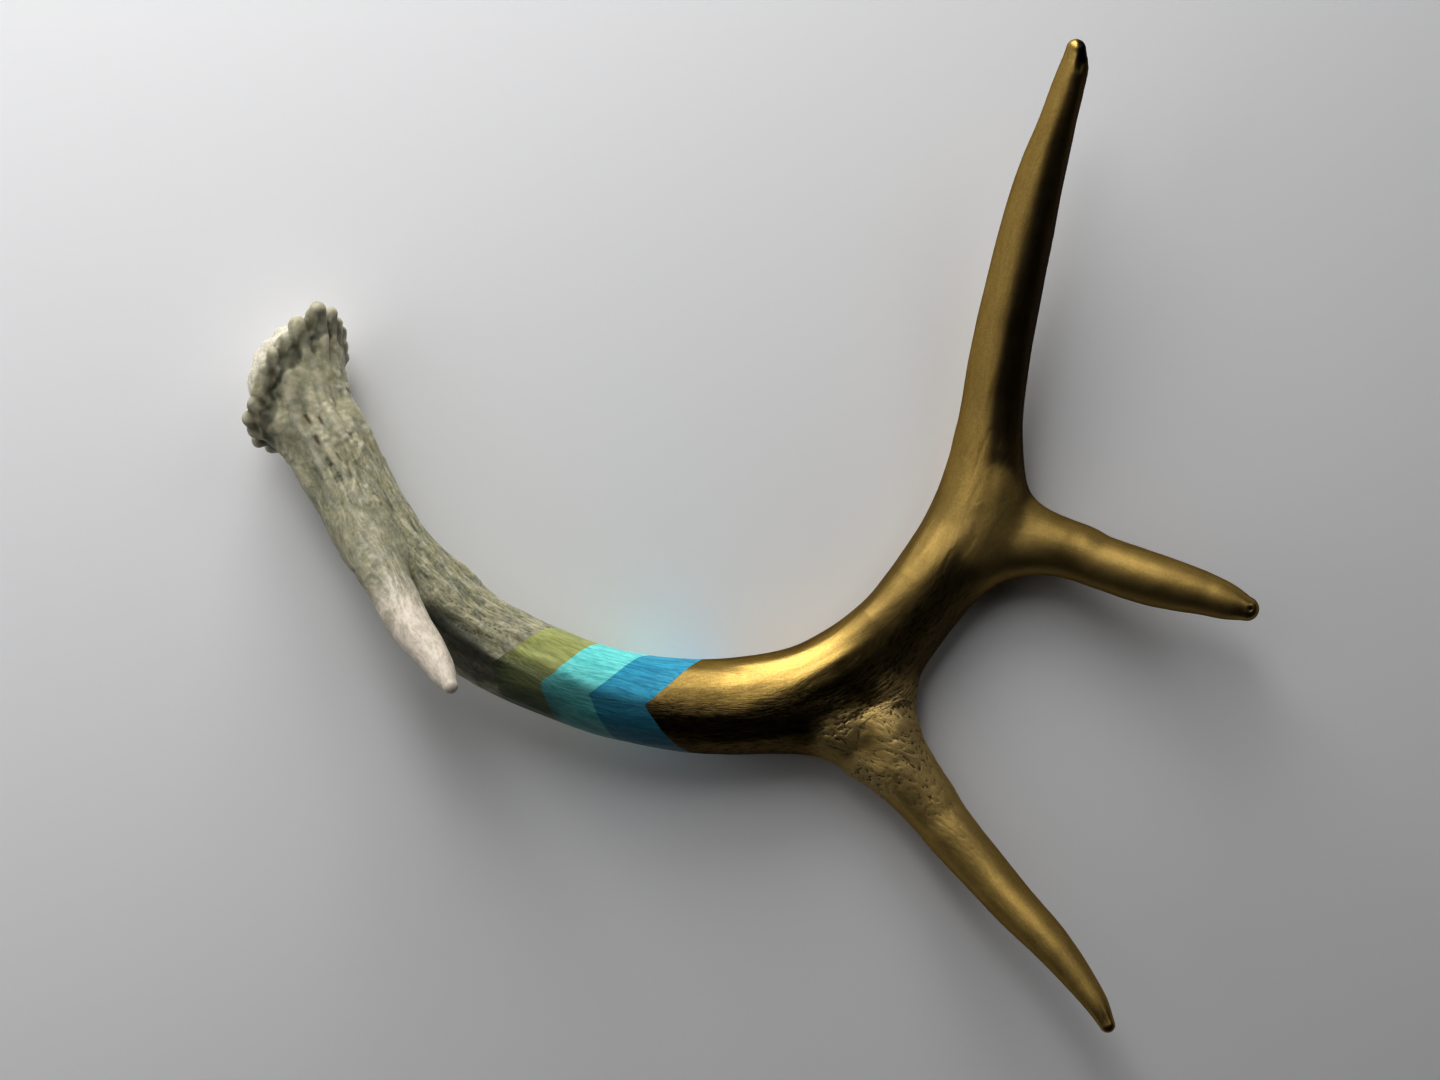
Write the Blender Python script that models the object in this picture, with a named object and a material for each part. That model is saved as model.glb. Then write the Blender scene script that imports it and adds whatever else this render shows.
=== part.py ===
"""A painted deer antler, lying on its outer side with its hollow curve open.

The antler grew as one piece. It is divided at its main forks into four solids: the main beam
with its burr, the brow tine, the second tine and the third tine. Every solid is cut from one
skin, so their surfaces run on from one to the next across a hair-thin gap.

Lengths are in millimetres, and MM turns them into metres. The floor is z = 0, the antler
touches it at the burr and under the two upper forks, and the origin is on the floor under
the middle of the antler's box.
"""

import bpy
import bmesh
import numpy as np
from math import cos, radians, sin
from mathutils import Matrix, Vector, noise

MM = 0.001

# Driving dimensions of the finished solids
SKIN_GRAIN = 1.25          # size of the squares that the whole skin is first laid in
SKIN_TRIANGLES = 8900      # triangles left in the whole skin
FORK_GAP = 0.3             # clear gap between neighbouring solids
ROUTE_SPACING = 2.0        # distance between the points read from a branch's curve
SETTLE_ROUNDS = 4          # how often the skin is moved onto the form
LONGEST_STEP = 2.0         # farthest that a point of the skin moves in one round
POINTS_AT_ONCE = 8192      # points measured against a branch in one go

# Place of the drawing's own zero in the finished frame
DRAWING_SHIFT = (-9.5, 0.3)

# Each branch is a smooth curve through stations: x, y, z, half width across, half depth up
MAIN_BEAM = [
    (-143.0, 50.0, 23.0, 12.5, 13.0),
    (-138.7, 38.5, 24.5, 14.6, 14.4),
    (-133.7, 29.5, 25.5, 14.7, 14.6),
    (-128.4, 20.1, 26.0, 13.9, 14.2),
    (-122.5, 9.2, 26.5, 13.6, 14.2),
    (-117.8, 0.7, 27.0, 14.0, 14.2),
    (-101.5, -18.0, 27.0, 14.5, 14.4),
    (-88.4, -29.5, 26.5, 14.7, 14.4),
    (-75.3, -38.0, 26.0, 15.1, 14.5),
    (-59.7, -45.5, 25.5, 15.2, 14.6),
    (-43.3, -51.7, 24.5, 15.2, 14.8),
    (-26.1, -55.7, 23.2, 15.5, 15.0),
    (-9.0, -57.9, 21.5, 16.2, 15.0),
    (10.0, -57.6, 19.5, 16.9, 14.8),
    (33.3, -52.2, 17.0, 16.6, 14.4),
    (49.0, -43.2, 15.2, 16.2, 14.0),
    (60.5, -33.5, 14.2, 15.6, 13.8),
    (71.0, -20.5, 13.8, 14.9, 13.9),
    (78.2, -9.8, 13.6, 14.6, 13.9),
    (85.2, 2.5, 13.7, 14.2, 13.7),
    (90.0, 14.1, 14.2, 13.6, 13.2),
    (93.0, 25.4, 15.6, 12.9, 12.4),
    (95.0, 43.1, 19.0, 11.1, 11.2),
    (96.8, 60.6, 24.0, 10.5, 10.6),
    (102.3, 93.6, 35.0, 9.6, 9.6),
    (108.7, 124.7, 47.0, 7.9, 7.9),
    (112.6, 139.6, 54.0, 6.2, 6.4),
    (115.7, 151.6, 59.0, 5.3, 5.3),
    (117.0, 157.0, 61.2, 4.6, 4.6),
    (117.3, 161.6, 63.0, 3.2, 3.2),
]
SECOND_TINE = [
    (8.7, -58.7, 19.5, 9.5, 9.0),
    (33.4, -63.0, 15.5, 11.8, 11.0),
    (50.5, -71.2, 12.0, 11.4, 11.2),
    (61.9, -79.9, 10.4, 10.5, 10.7),
    (72.3, -91.7, 13.2, 9.3, 9.6),
    (79.7, -101.1, 17.5, 9.1, 9.1),
    (91.0, -114.0, 23.0, 8.5, 8.5),
    (101.8, -126.3, 30.0, 7.7, 7.7),
    (112.8, -137.7, 37.0, 6.7, 6.7),
    (122.6, -150.0, 43.5, 5.0, 5.0),
    (127.2, -156.8, 47.0, 3.9, 4.0),
    (130.0, -162.7, 49.8, 2.6, 2.6),
]
# The web that fills the second fork runs from the beam down into the tine
SECOND_WEB = [
    (71.0, -23.0, 14.0, 8.5, 9.0),
    (60.0, -42.0, 14.3, 10.4, 10.4),
    (56.5, -60.0, 14.0, 10.2, 10.0),
    (62.0, -76.0, 13.2, 8.6, 9.2),
    (72.5, -91.5, 14.5, 7.0, 7.6),
]
# The web that fills the third fork runs from the upper beam out into the tine
THIRD_WEB = [
    (93.2, 34.0, 17.0, 7.6, 7.6),
    (97.4, 21.5, 15.0, 8.2, 8.4),
    (104.4, 10.2, 14.0, 7.8, 8.4),
    (115.0, 2.3, 15.8, 7.0, 7.8),
    (127.0, -2.6, 19.0, 6.0, 6.8),
]
THIRD_TINE = [
    (70.0, -22.0, 14.0, 8.0, 8.0),
    (84.5, -9.0, 13.8, 10.5, 10.0),
    (100.6, -2.8, 14.2, 11.0, 10.6),
    (116.7, -2.6, 17.0, 10.0, 9.8),
    (125.5, -4.9, 19.0, 9.5, 9.3),
    (133.7, -8.0, 22.0, 9.4, 9.2),
    (150.2, -13.8, 28.0, 9.2, 9.0),
    (158.6, -16.2, 31.0, 8.5, 8.3),
    (166.5, -18.5, 34.0, 7.4, 7.2),
    (174.5, -21.5, 37.5, 6.0, 5.8),
    (179.3, -23.4, 39.6, 4.2, 4.2),
]
BROW_TINE = [
    (-133.6, 27.8, 26.0, 7.0, 7.0),
    (-126.8, 12.1, 31.0, 9.2, 9.0),
    (-119.8, -1.7, 39.5, 9.0, 9.0),
    (-109.8, -16.7, 52.0, 7.7, 8.2),
    (-101.6, -29.0, 62.0, 7.0, 7.4),
    (-94.7, -36.4, 69.0, 5.6, 6.0),
    (-89.2, -43.6, 76.0, 4.0, 4.2),
    (-86.8, -46.8, 79.5, 2.6, 2.6),
]

# How far each tine's root melts into the beam
SECOND_BLEND = 10.0
WEB_BLEND = 6.0
THIRD_BLEND = 10.0
BROW_BLEND = 7.0

# The burr: a leaning collar of knobs around the foot of the beam
BURR_CENTRE = (-146.2, 56.0, 22.0)
BURR_HEADING = 153.0       # degrees from +x of the way the antler's foot faces
BURR_LEAN = -23.0          # degrees above the floor of the way it faces
BURR_RADII = (24.0, 21.4)  # along the floor and up, to the middle of the knobs' heads
BURR_CUP = (1.5, 0.0)      # how far the collar's top and its bottom stand out past its sides
BURR_BLEND = 2.4           # how far neighbouring knobs melt into each other
FLARE_BLEND = 6.0          # how far the burr as a whole melts into the beam
BURR_REACH = 48.0          # distance from the burr's centre within which it shapes the skin
FLARE_FOOT = (-140.6, 43.5, 24.0)   # the beam's middle where it starts to flare into the burr
FLARE_SHARE = 0.44         # a knob's root there, as a share of its reach
FLARE_RISE = 0.14          # added to that share at the top of the collar
KNOB_TAPER = 1.4           # a knob's root is this much thicker than its head
# Each knob: degrees round the collar from its upper right end, reach, thickness, back lean
KNOBS = [
    (6, 1.03, 2.8, 0.5), (29, 1.09, 3.1, 0.5), (47, 0.98, 2.4, 0.0), (66, 0.94, 2.0, 0.5),
    (82, 0.98, 2.6, 1.5), (95, 0.97, 1.7, 1.0), (105, 0.96, 1.6, 0.5), (115, 0.96, 1.8, 0.5),
    (126, 1.05, 1.9, 0.5), (138, 1.09, 2.3, 0.5), (152, 1.06, 2.1, 0.5), (167, 1.05, 2.7, 0.5),
    (185, 1.06, 2.4, 0.5), (202, 1.03, 2.8, 0.5), (218, 1.00, 2.4, 0.5), (236, 1.03, 2.9, 0.5),
    (254, 1.00, 2.6, 0.5), (271, 1.00, 3.0, 0.5), (288, 0.94, 2.5, 0.5), (306, 0.86, 2.4, 0.5),
    (323, 0.88, 2.1, 0.5), (338, 0.93, 2.2, 0.5), (352, 0.96, 2.0, 0.5),
]
COLLAR_THICKNESS = 4.0
COLLAR_SHARE = 0.86        # the collar's solid disc, as a share of the knobs' ring

# The rounded seat by which the antler once sat on the skull
SEAT_FORWARD = 4.4         # how far its middle lies in front of the collar's
SEAT_RADII = (17.8, 16.4, 12.3)

# Relief of the skin: how high its ridges stand on the bare foot, the painted beam and the tips
RIDGE_HEIGHTS = {"bare": 1.0, "painted": 0.35, "tine": 0.15}
RIDGE_WIDTH = 4.6          # from one ridge to the next, round the beam
RIDGE_LENGTH = 21.0        # length over which a ridge wanders
BARE_LENGTH = 95.0         # bare beam from the burr to where the ridges start to calm
CALM_LENGTH = 60.0         # length over which they calm
FORK_SOFTNESS = 6.0        # length over which the beam's ridges give way to a tine's

# Cuts that divide the skin at its forks: a point on the cut, the way the tine leaves it, reach
SECOND_CUT = ((63.0, -81.0, 12.4), (0.66, -0.75, 0.12), 36.0)
THIRD_CUT = ((108.0, -2.6, 15.4), (0.98, -0.04, 0.18), 30.0)
BROW_CUT = ((-108.5, -18.7, 53.5), (0.46, -0.69, 0.56), 12.0)
TINE_REACH = 150.0

FLOOR_TRIM = 0.0           # height at which the skin is cut flat where it meets the floor

# Colour, roughness and metallic value of each solid
FINISHES = {
    "main_beam": ((0.30, 0.19, 0.06), 0.38, 0.9),
    "second_tine": ((0.34, 0.22, 0.07), 0.36, 0.9),
    "third_tine": ((0.34, 0.22, 0.07), 0.36, 0.9),
    "brow_tine": ((0.55, 0.48, 0.38), 0.6, 0.0),
}


def clear_scene():
    """Remove whatever the scene held."""
    for item in list(bpy.data.objects):
        bpy.data.objects.remove(item, do_unlink=True)


def unit(vectors):
    """Each row scaled to length one."""
    return vectors / np.linalg.norm(vectors, axis=-1, keepdims=True)


def rows_along(stations):
    """The stations' values read off a smooth curve through them, about every ROUTE_SPACING."""
    rows = np.array(stations, dtype=float)
    steps = np.linalg.norm(np.diff(rows[:, :3], axis=0), axis=1)
    places = np.concatenate([[0.0], np.cumsum(steps)])
    slopes = np.gradient(rows, places, axis=0)
    curve = []
    for start, step in enumerate(steps):
        count = max(2, round(step / ROUTE_SPACING))
        for t in np.arange(count) / count:
            near = (1 + 2 * t) * (1 - t) ** 2 * rows[start] + t * (1 - t) ** 2 * step * slopes[start]
            far = t * t * (3 - 2 * t) * rows[start + 1] + t * t * (t - 1) * step * slopes[start + 1]
            curve.append(near + far)
    curve.append(rows[-1])
    return np.array(curve)


class Branch:
    """A tapering limb with an oval section, along a smooth curve."""

    def __init__(self, stations):
        rows = rows_along(stations)
        self.points = rows[:, :3]
        self.wide = rows[:, 3]
        self.deep = rows[:, 4]
        steps = np.linalg.norm(np.diff(self.points, axis=0), axis=1)
        self.places = np.concatenate([[0.0], np.cumsum(steps)])
        self.headings = unit(np.gradient(self.points, self.places, axis=0))
        self.sides = unit(np.cross(self.headings, (0.0, 0.0, 1.0)))
        self.tops = np.cross(self.sides, self.headings)

    def read(self, values, along):
        """The limb's values at the given lengths along it."""
        columns = [np.interp(along, self.places, column) for column in values.T]
        return np.stack(columns, axis=-1)

    def locate(self, points):
        """Each point's length along the limb, and its offsets across, up and ahead of it."""
        nearest = np.empty(len(points), dtype=int)
        for start in range(0, len(points), POINTS_AT_ONCE):
            block = points[start:start + POINTS_AT_ONCE]
            gaps = ((block[:, None, :] - self.points[None, :, :]) ** 2).sum(axis=2)
            nearest[start:start + POINTS_AT_ONCE] = gaps.argmin(axis=1)
        forward = ((points - self.points[nearest]) * self.headings[nearest]).sum(axis=1)
        along = np.clip(self.places[nearest] + forward, 0.0, self.places[-1])
        offsets = points - self.read(self.points, along)
        across = (offsets * self.read(self.sides, along)).sum(axis=1)
        up = (offsets * self.read(self.tops, along)).sum(axis=1)
        ahead = (offsets * self.read(self.headings, along)).sum(axis=1)
        return along, across, up, ahead

    def distance(self, points):
        """About how far each point lies outside the limb's skin; less than zero inside."""
        along, across, up, ahead = self.locate(points)
        wide = np.interp(along, self.places, self.wide)
        deep = np.interp(along, self.places, self.deep)
        narrow = np.minimum(wide, deep)
        share = np.sqrt((across / wide) ** 2 + (up / deep) ** 2 + (ahead / narrow) ** 2)
        return (share - 1.0) * np.sqrt(wide * deep)


class Knob:
    """A round-headed finger that thins or thickens from its root to its head."""

    def __init__(self, root, head, root_radius, head_radius):
        self.root = root
        self.head = head
        self.radii = (root_radius, head_radius)

    def distance(self, points):
        """How far each point lies outside the knob."""
        span = self.head - self.root
        share = np.clip((points - self.root) @ span / (span @ span), 0.0, 1.0)
        nearest = self.root + share[:, None] * span
        radius = self.radii[0] + share * (self.radii[1] - self.radii[0])
        return np.linalg.norm(points - nearest, axis=1) - radius


class Pebble:
    """An ellipsoid with its own three directions, given as the rows of a matrix."""

    def __init__(self, centre, radii, directions):
        self.centre = centre
        self.radii = np.array(radii)
        self.directions = directions

    def distance(self, points):
        """About how far each point lies outside the ellipsoid."""
        shares = (points - self.centre) @ self.directions.T / self.radii
        return (np.linalg.norm(shares, axis=1) - 1.0) * self.radii.min()


def directions_facing(heading, lean):
    """Three directions as rows: level and across, up, and the facing direction itself."""
    heading = radians(heading)
    lean = radians(lean)
    facing = np.array([cos(heading) * cos(lean), sin(heading) * cos(lean), sin(lean)])
    level = np.array([sin(heading), -cos(heading), 0.0])
    return np.array([level, np.cross(level, facing), facing])


def burr_place(angle, share):
    """A point of the burr's collar: its angle round the ring and its share of the ring's reach."""
    level, up, facing = directions_facing(BURR_HEADING, BURR_LEAN)
    angle = radians(angle)
    cup = BURR_CUP[0] if sin(angle) > 0 else BURR_CUP[1]
    ring = level * BURR_RADII[0] * cos(angle) + up * BURR_RADII[1] * sin(angle)
    return np.array(BURR_CENTRE) + share * ring + facing * cup * sin(angle) ** 2 * share


def burr_knobs():
    """The knobs round the burr, each growing out of the foot of the beam."""
    facing = directions_facing(BURR_HEADING, BURR_LEAN)[2]
    knobs = []
    for angle, reach, thickness, back in KNOBS:
        head = burr_place(angle, reach) - facing * back
        share = FLARE_SHARE + FLARE_RISE * max(0.0, sin(radians(angle))) ** 2
        root = np.array(FLARE_FOOT) + (head - np.array(BURR_CENTRE)) * share
        knobs.append(Knob(root, head, thickness * KNOB_TAPER, thickness))
    return knobs


def collar():
    """The solid disc from which the knobs stand out."""
    directions = directions_facing(BURR_HEADING, BURR_LEAN)
    radii = (BURR_RADII[0] * COLLAR_SHARE, BURR_RADII[1] * COLLAR_SHARE, COLLAR_THICKNESS)
    return Pebble(np.array(BURR_CENTRE), radii, directions)


def seat():
    """The rounded seat below the burr."""
    directions = directions_facing(BURR_HEADING, BURR_LEAN)
    return Pebble(np.array(BURR_CENTRE) + directions[2] * SEAT_FORWARD, SEAT_RADII, directions)


def melt(first, second, width):
    """The nearer of two distances, rounded where they come within the width of each other."""
    share = np.maximum(width - np.abs(first - second), 0.0) / width
    return np.minimum(first, second) - share * share * width / 4.0


class Antler:
    """All the limbs and lumps of the antler, melted into one form."""

    def __init__(self):
        self.beam = Branch(MAIN_BEAM)
        self.tines = [
            (Branch(SECOND_TINE), SECOND_BLEND),
            (Branch(SECOND_WEB), WEB_BLEND),
            (Branch(THIRD_TINE), THIRD_BLEND),
            (Branch(THIRD_WEB), WEB_BLEND),
            (Branch(BROW_TINE), BROW_BLEND),
        ]
        self.lumps = [collar(), seat(), *burr_knobs()]

    def distance(self, points):
        """About how far each point lies outside the antler's skin."""
        gap = self.beam.distance(points)
        for tine, width in self.tines:
            gap = melt(gap, tine.distance(points), width)
        near = np.linalg.norm(points - np.array(BURR_CENTRE), axis=1) < BURR_REACH
        if near.any():
            gap[near] = melt(gap[near], self.burr_distance(points[near]), FLARE_BLEND)
        return gap

    def burr_distance(self, points):
        """About how far each point lies outside the burr with its knobs and its seat."""
        gap = self.lumps[0].distance(points)
        for lump in self.lumps[1:]:
            gap = melt(gap, lump.distance(points), BURR_BLEND)
        return gap


def mesh_points(mesh):
    """The mesh's vertices in millimetres."""
    flat = np.empty(len(mesh.vertices) * 3)
    mesh.vertices.foreach_get("co", flat)
    return flat.reshape(-1, 3) / MM


def mesh_normals(mesh):
    """The mesh's vertex normals."""
    flat = np.empty(len(mesh.vertices) * 3)
    mesh.vertex_normals.foreach_get("vector", flat)
    return flat.reshape(-1, 3)


def place_points(mesh, points):
    """Give the mesh its vertices, in millimetres."""
    mesh.vertices.foreach_set("co", (points * MM).ravel())
    mesh.update()


def new_object(name, mesh):
    """A mesh object in the scene."""
    item = bpy.data.objects.new(name, mesh)
    bpy.context.scene.collection.objects.link(item)
    return item


def rough_limb(points, radii):
    """A closed tube along the points, as a mesh."""
    curve = bpy.data.curves.new("limb", "CURVE")
    curve.dimensions = "3D"
    curve.bevel_depth = MM
    curve.bevel_resolution = 4
    curve.use_fill_caps = True
    spline = curve.splines.new("POLY")
    spline.points.add(len(points) - 1)
    for place, centre, radius in zip(spline.points, points, radii):
        place.co = (*(centre * MM), 1.0)
        place.radius = radius
    item = new_object("limb", curve)
    bpy.context.view_layer.update()
    mesh = bpy.data.meshes.new_from_object(item.evaluated_get(bpy.context.evaluated_depsgraph_get()))
    bpy.data.objects.remove(item, do_unlink=True)
    return mesh


def rough_ball(pebble):
    """A ball stretched to the ellipsoid, as a mesh."""
    shape = bmesh.new()
    stretch = Matrix(pebble.directions.T * pebble.radii).to_4x4()
    place = Matrix.Translation(Vector(pebble.centre)) @ stretch
    bmesh.ops.create_icosphere(shape, subdivisions=3, radius=1.0, matrix=Matrix.Scale(MM, 4) @ place)
    mesh = bpy.data.meshes.new("ball")
    shape.to_mesh(mesh)
    shape.free()
    return mesh


def rough_form(antler):
    """All limbs and lumps as overlapping closed shapes in one mesh."""
    meshes = []
    for branch in [antler.beam] + [tine for tine, width in antler.tines]:
        radii = np.sqrt(branch.wide * branch.deep)
        meshes.append(rough_limb(branch.points, radii))
    for lump in antler.lumps:
        if isinstance(lump, Knob):
            meshes.append(rough_limb(np.array([lump.root, lump.head]), lump.radii))
        else:
            meshes.append(rough_ball(lump))
    whole = bmesh.new()
    for mesh in meshes:
        whole.from_mesh(mesh)
        bpy.data.meshes.remove(mesh)
    joined = bpy.data.meshes.new("rough_form")
    whole.to_mesh(joined)
    whole.free()
    return joined


def applied(mesh, kind, **settings):
    """The mesh after one modifier."""
    item = new_object("worked", mesh)
    modifier = item.modifiers.new(kind.title(), kind)
    for name, value in settings.items():
        setattr(modifier, name, value)
    bpy.context.view_layer.update()
    result = bpy.data.meshes.new_from_object(
        item.evaluated_get(bpy.context.evaluated_depsgraph_get()))
    bpy.data.objects.remove(item, do_unlink=True)
    bpy.data.meshes.remove(mesh)
    return result


def settle(mesh, antler):
    """Move the mesh's vertices onto the antler's form."""
    for _ in range(SETTLE_ROUNDS):
        points = mesh_points(mesh)
        steps = np.clip(-antler.distance(points), -LONGEST_STEP, LONGEST_STEP)
        place_points(mesh, points + mesh_normals(mesh) * steps[:, None])


def ridge_height(antler, points):
    """How high the skin's ridges stand at each point."""
    along, across, up, _ = antler.beam.locate(points)
    to_tines = np.min([tine.distance(points) for tine, _ in antler.tines], axis=0)
    nearer = to_tines - antler.beam.distance(points)
    beam_share = np.clip(nearer / FORK_SOFTNESS + 0.5, 0.0, 1.0)
    calm = np.clip((along - BARE_LENGTH) / CALM_LENGTH, 0.0, 1.0)
    strength = RIDGE_HEIGHTS["bare"] * (1 - calm) + RIDGE_HEIGHTS["painted"] * calm
    strength = RIDGE_HEIGHTS["tine"] * (1 - beam_share) + strength * beam_share
    spots = np.stack([across / RIDGE_WIDTH, up / RIDGE_WIDTH, along / RIDGE_LENGTH], axis=1)
    return 2.0 * strength * np.array([noise.noise(Vector(spot)) for spot in spots])


def antler_skin(antler):
    """The antler's whole closed skin."""
    grain = {"mode": "VOXEL", "voxel_size": SKIN_GRAIN * MM, "use_smooth_shade": True}
    mesh = applied(rough_form(antler), "REMESH", **grain)
    settle(mesh, antler)
    mesh = applied(mesh, "REMESH", **grain)
    settle(mesh, antler)
    points = mesh_points(mesh)
    relief = ridge_height(antler, points)
    points = points + mesh_normals(mesh) * relief[:, None]
    points[:, :2] += DRAWING_SHIFT
    place_points(mesh, points)
    return mesh


def thinned(mesh, triangles):
    """The mesh with about the given number of triangles."""
    mesh.calc_loop_triangles()
    share = triangles / len(mesh.loop_triangles)
    return applied(mesh, "DECIMATE", ratio=share, use_collapse_triangulate=True)


def trimmed_at_floor(mesh):
    """The mesh cut flat and closed where it meets the floor."""
    shape = bmesh.new()
    shape.from_mesh(mesh)
    everything = list(shape.verts) + list(shape.edges) + list(shape.faces)
    cut = bmesh.ops.bisect_plane(
        shape, geom=everything, dist=1e-7, plane_co=(0, 0, FLOOR_TRIM * MM), plane_no=(0, 0, -1),
        clear_outer=True)
    rims = [item for item in cut["geom_cut"] if isinstance(item, bmesh.types.BMEdge)]
    bmesh.ops.holes_fill(shape, edges=rims, sides=0)
    bmesh.ops.recalc_face_normals(shape, faces=shape.faces)
    shape.to_mesh(mesh)
    shape.free()
    return mesh


def tine_cutter(name, cut, gap):
    """A box that starts at the cut's plane and takes in the whole tine beyond it."""
    point, way, reach = cut
    way = Vector(way).normalized()
    start = Vector(point) + Vector((*DRAWING_SHIFT, 0.0)) + way * gap
    turn = way.to_track_quat("Z", "Y").to_matrix().to_4x4()
    size = Matrix.Diagonal((2 * reach, 2 * reach, TINE_REACH, 1.0))
    lift = Matrix.Translation((0.0, 0.0, 0.5))
    shape = bmesh.new()
    place = Matrix.Scale(MM, 4) @ Matrix.Translation(start) @ turn @ size @ lift
    bmesh.ops.create_cube(shape, size=1.0, matrix=place)
    mesh = bpy.data.meshes.new(name)
    shape.to_mesh(mesh)
    shape.free()
    cutter = new_object(name, mesh)
    cutter.hide_render = True
    cutter.display_type = "WIRE"
    return cutter


def cut_with(item, cutter, operation):
    """Give an object a Boolean with the cutter."""
    modifier = item.modifiers.new(cutter.name, "BOOLEAN")
    modifier.object = cutter
    modifier.operation = operation


def finish(item):
    """Give an object its own material and smooth shading."""
    colour, roughness, metallic = FINISHES[item.name]
    material = bpy.data.materials.new(item.name)
    material.use_nodes = True
    shader = material.node_tree.nodes["Principled BSDF"]
    shader.inputs["Base Color"].default_value = (*colour, 1.0)
    shader.inputs["Roughness"].default_value = roughness
    shader.inputs["Metallic"].default_value = metallic
    item.data.materials.clear()
    item.data.materials.append(material)
    item.data.shade_smooth()


def build():
    """Make the four solids."""
    clear_scene()
    skin = trimmed_at_floor(thinned(antler_skin(Antler()), SKIN_TRIANGLES))
    cuts = {"second_tine": SECOND_CUT, "third_tine": THIRD_CUT, "brow_tine": BROW_CUT}
    beam = new_object("main_beam", skin)
    for name, cut in cuts.items():
        tine = new_object(name, skin.copy())
        cut_with(tine, tine_cutter(name + "_keep", cut, FORK_GAP), "INTERSECT")
        cut_with(beam, tine_cutter(name + "_cut", cut, 0.0), "DIFFERENCE")
        finish(tine)
    finish(beam)


build()
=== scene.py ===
"""The looks of the painted antler, built on the finished solids' own form.

The whole skin is one fine mesh that follows the solids. It is divided where the paint changes:
bare antler, three chevron bands and the gold end. Lengths are in millimetres, and MM turns them
into metres.
"""

from math import cos, radians, sin

import bmesh
import bpy
import numpy as np
from mathutils import Matrix, Vector, noise


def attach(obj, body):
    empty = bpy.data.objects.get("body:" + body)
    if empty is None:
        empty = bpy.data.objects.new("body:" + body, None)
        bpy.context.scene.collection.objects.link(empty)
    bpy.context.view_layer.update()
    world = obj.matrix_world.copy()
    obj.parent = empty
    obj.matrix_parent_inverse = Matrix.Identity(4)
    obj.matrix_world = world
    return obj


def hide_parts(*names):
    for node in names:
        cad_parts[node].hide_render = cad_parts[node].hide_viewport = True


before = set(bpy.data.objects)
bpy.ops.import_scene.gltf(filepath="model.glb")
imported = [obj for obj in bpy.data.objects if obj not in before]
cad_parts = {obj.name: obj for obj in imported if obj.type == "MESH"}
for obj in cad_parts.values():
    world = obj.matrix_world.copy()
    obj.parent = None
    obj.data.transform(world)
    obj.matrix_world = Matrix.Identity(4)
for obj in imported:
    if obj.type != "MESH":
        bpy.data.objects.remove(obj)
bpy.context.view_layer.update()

MM = 0.001

# The skin's mesh
COARSE_GRAIN = 1.6  # squares of the first closed skin
FINE_GRAIN = 0.62  # squares of the finished skin
LIMB_ROUNDNESS = 4  # how finely the rough limbs and balls are divided
BALL_ROUNDNESS = 3
ROUTE_SPACING = 2.0  # distance between the points read from a branch's curve
COARSE_ROUNDS = 3  # how often each skin is moved onto the form
FINE_ROUNDS = 2
LONGEST_STEP = 2.0  # farthest that a point of the skin moves in one round
POINTS_AT_ONCE = 16384  # points measured against a branch in one go
FAR = 60.0  # distance given to points that a limb can't reach
LIMB_REACH = 26.0  # a limb shapes the skin no farther than this from its own box

# Place of the drawing's own zero in the finished frame
DRAWING_SHIFT = (-9.5, 0.3)

# Each branch is a smooth curve through stations: x, y, z, half width across, half depth up
MAIN_BEAM = [
    (-143.0, 50.0, 23.0, 12.5, 13.0),
    (-138.7, 38.5, 24.5, 14.6, 14.4),
    (-133.7, 29.5, 25.5, 14.7, 14.6),
    (-128.4, 20.1, 26.0, 13.9, 14.2),
    (-122.5, 9.2, 26.5, 13.6, 14.2),
    (-117.8, 0.7, 27.0, 14.0, 14.2),
    (-101.5, -18.0, 27.0, 14.5, 14.4),
    (-88.4, -29.5, 26.5, 14.7, 14.4),
    (-75.3, -38.0, 26.0, 15.1, 14.5),
    (-59.7, -45.5, 25.5, 15.2, 14.6),
    (-43.3, -51.7, 24.5, 15.2, 14.8),
    (-26.1, -55.7, 23.2, 15.5, 15.0),
    (-9.0, -57.9, 21.5, 16.2, 15.0),
    (10.0, -57.6, 19.5, 16.9, 14.8),
    (33.3, -52.2, 17.0, 16.6, 14.4),
    (49.0, -43.2, 15.2, 16.2, 14.0),
    (60.5, -33.5, 14.2, 15.6, 13.8),
    (71.0, -20.5, 13.8, 14.9, 13.9),
    (78.2, -9.8, 13.6, 14.6, 13.9),
    (85.2, 2.5, 13.7, 14.2, 13.7),
    (90.0, 14.1, 14.2, 13.6, 13.2),
    (93.0, 25.4, 15.6, 12.9, 12.4),
    (95.0, 43.1, 19.0, 11.1, 11.2),
    (96.8, 60.6, 24.0, 10.5, 10.6),
    (102.3, 93.6, 35.0, 9.6, 9.6),
    (108.7, 124.7, 47.0, 7.9, 7.9),
    (112.6, 139.6, 54.0, 6.2, 6.4),
    (115.7, 151.6, 59.0, 5.3, 5.3),
    (117.0, 157.0, 61.2, 4.6, 4.6),
    (117.3, 161.6, 63.0, 3.2, 3.2),
]
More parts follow.
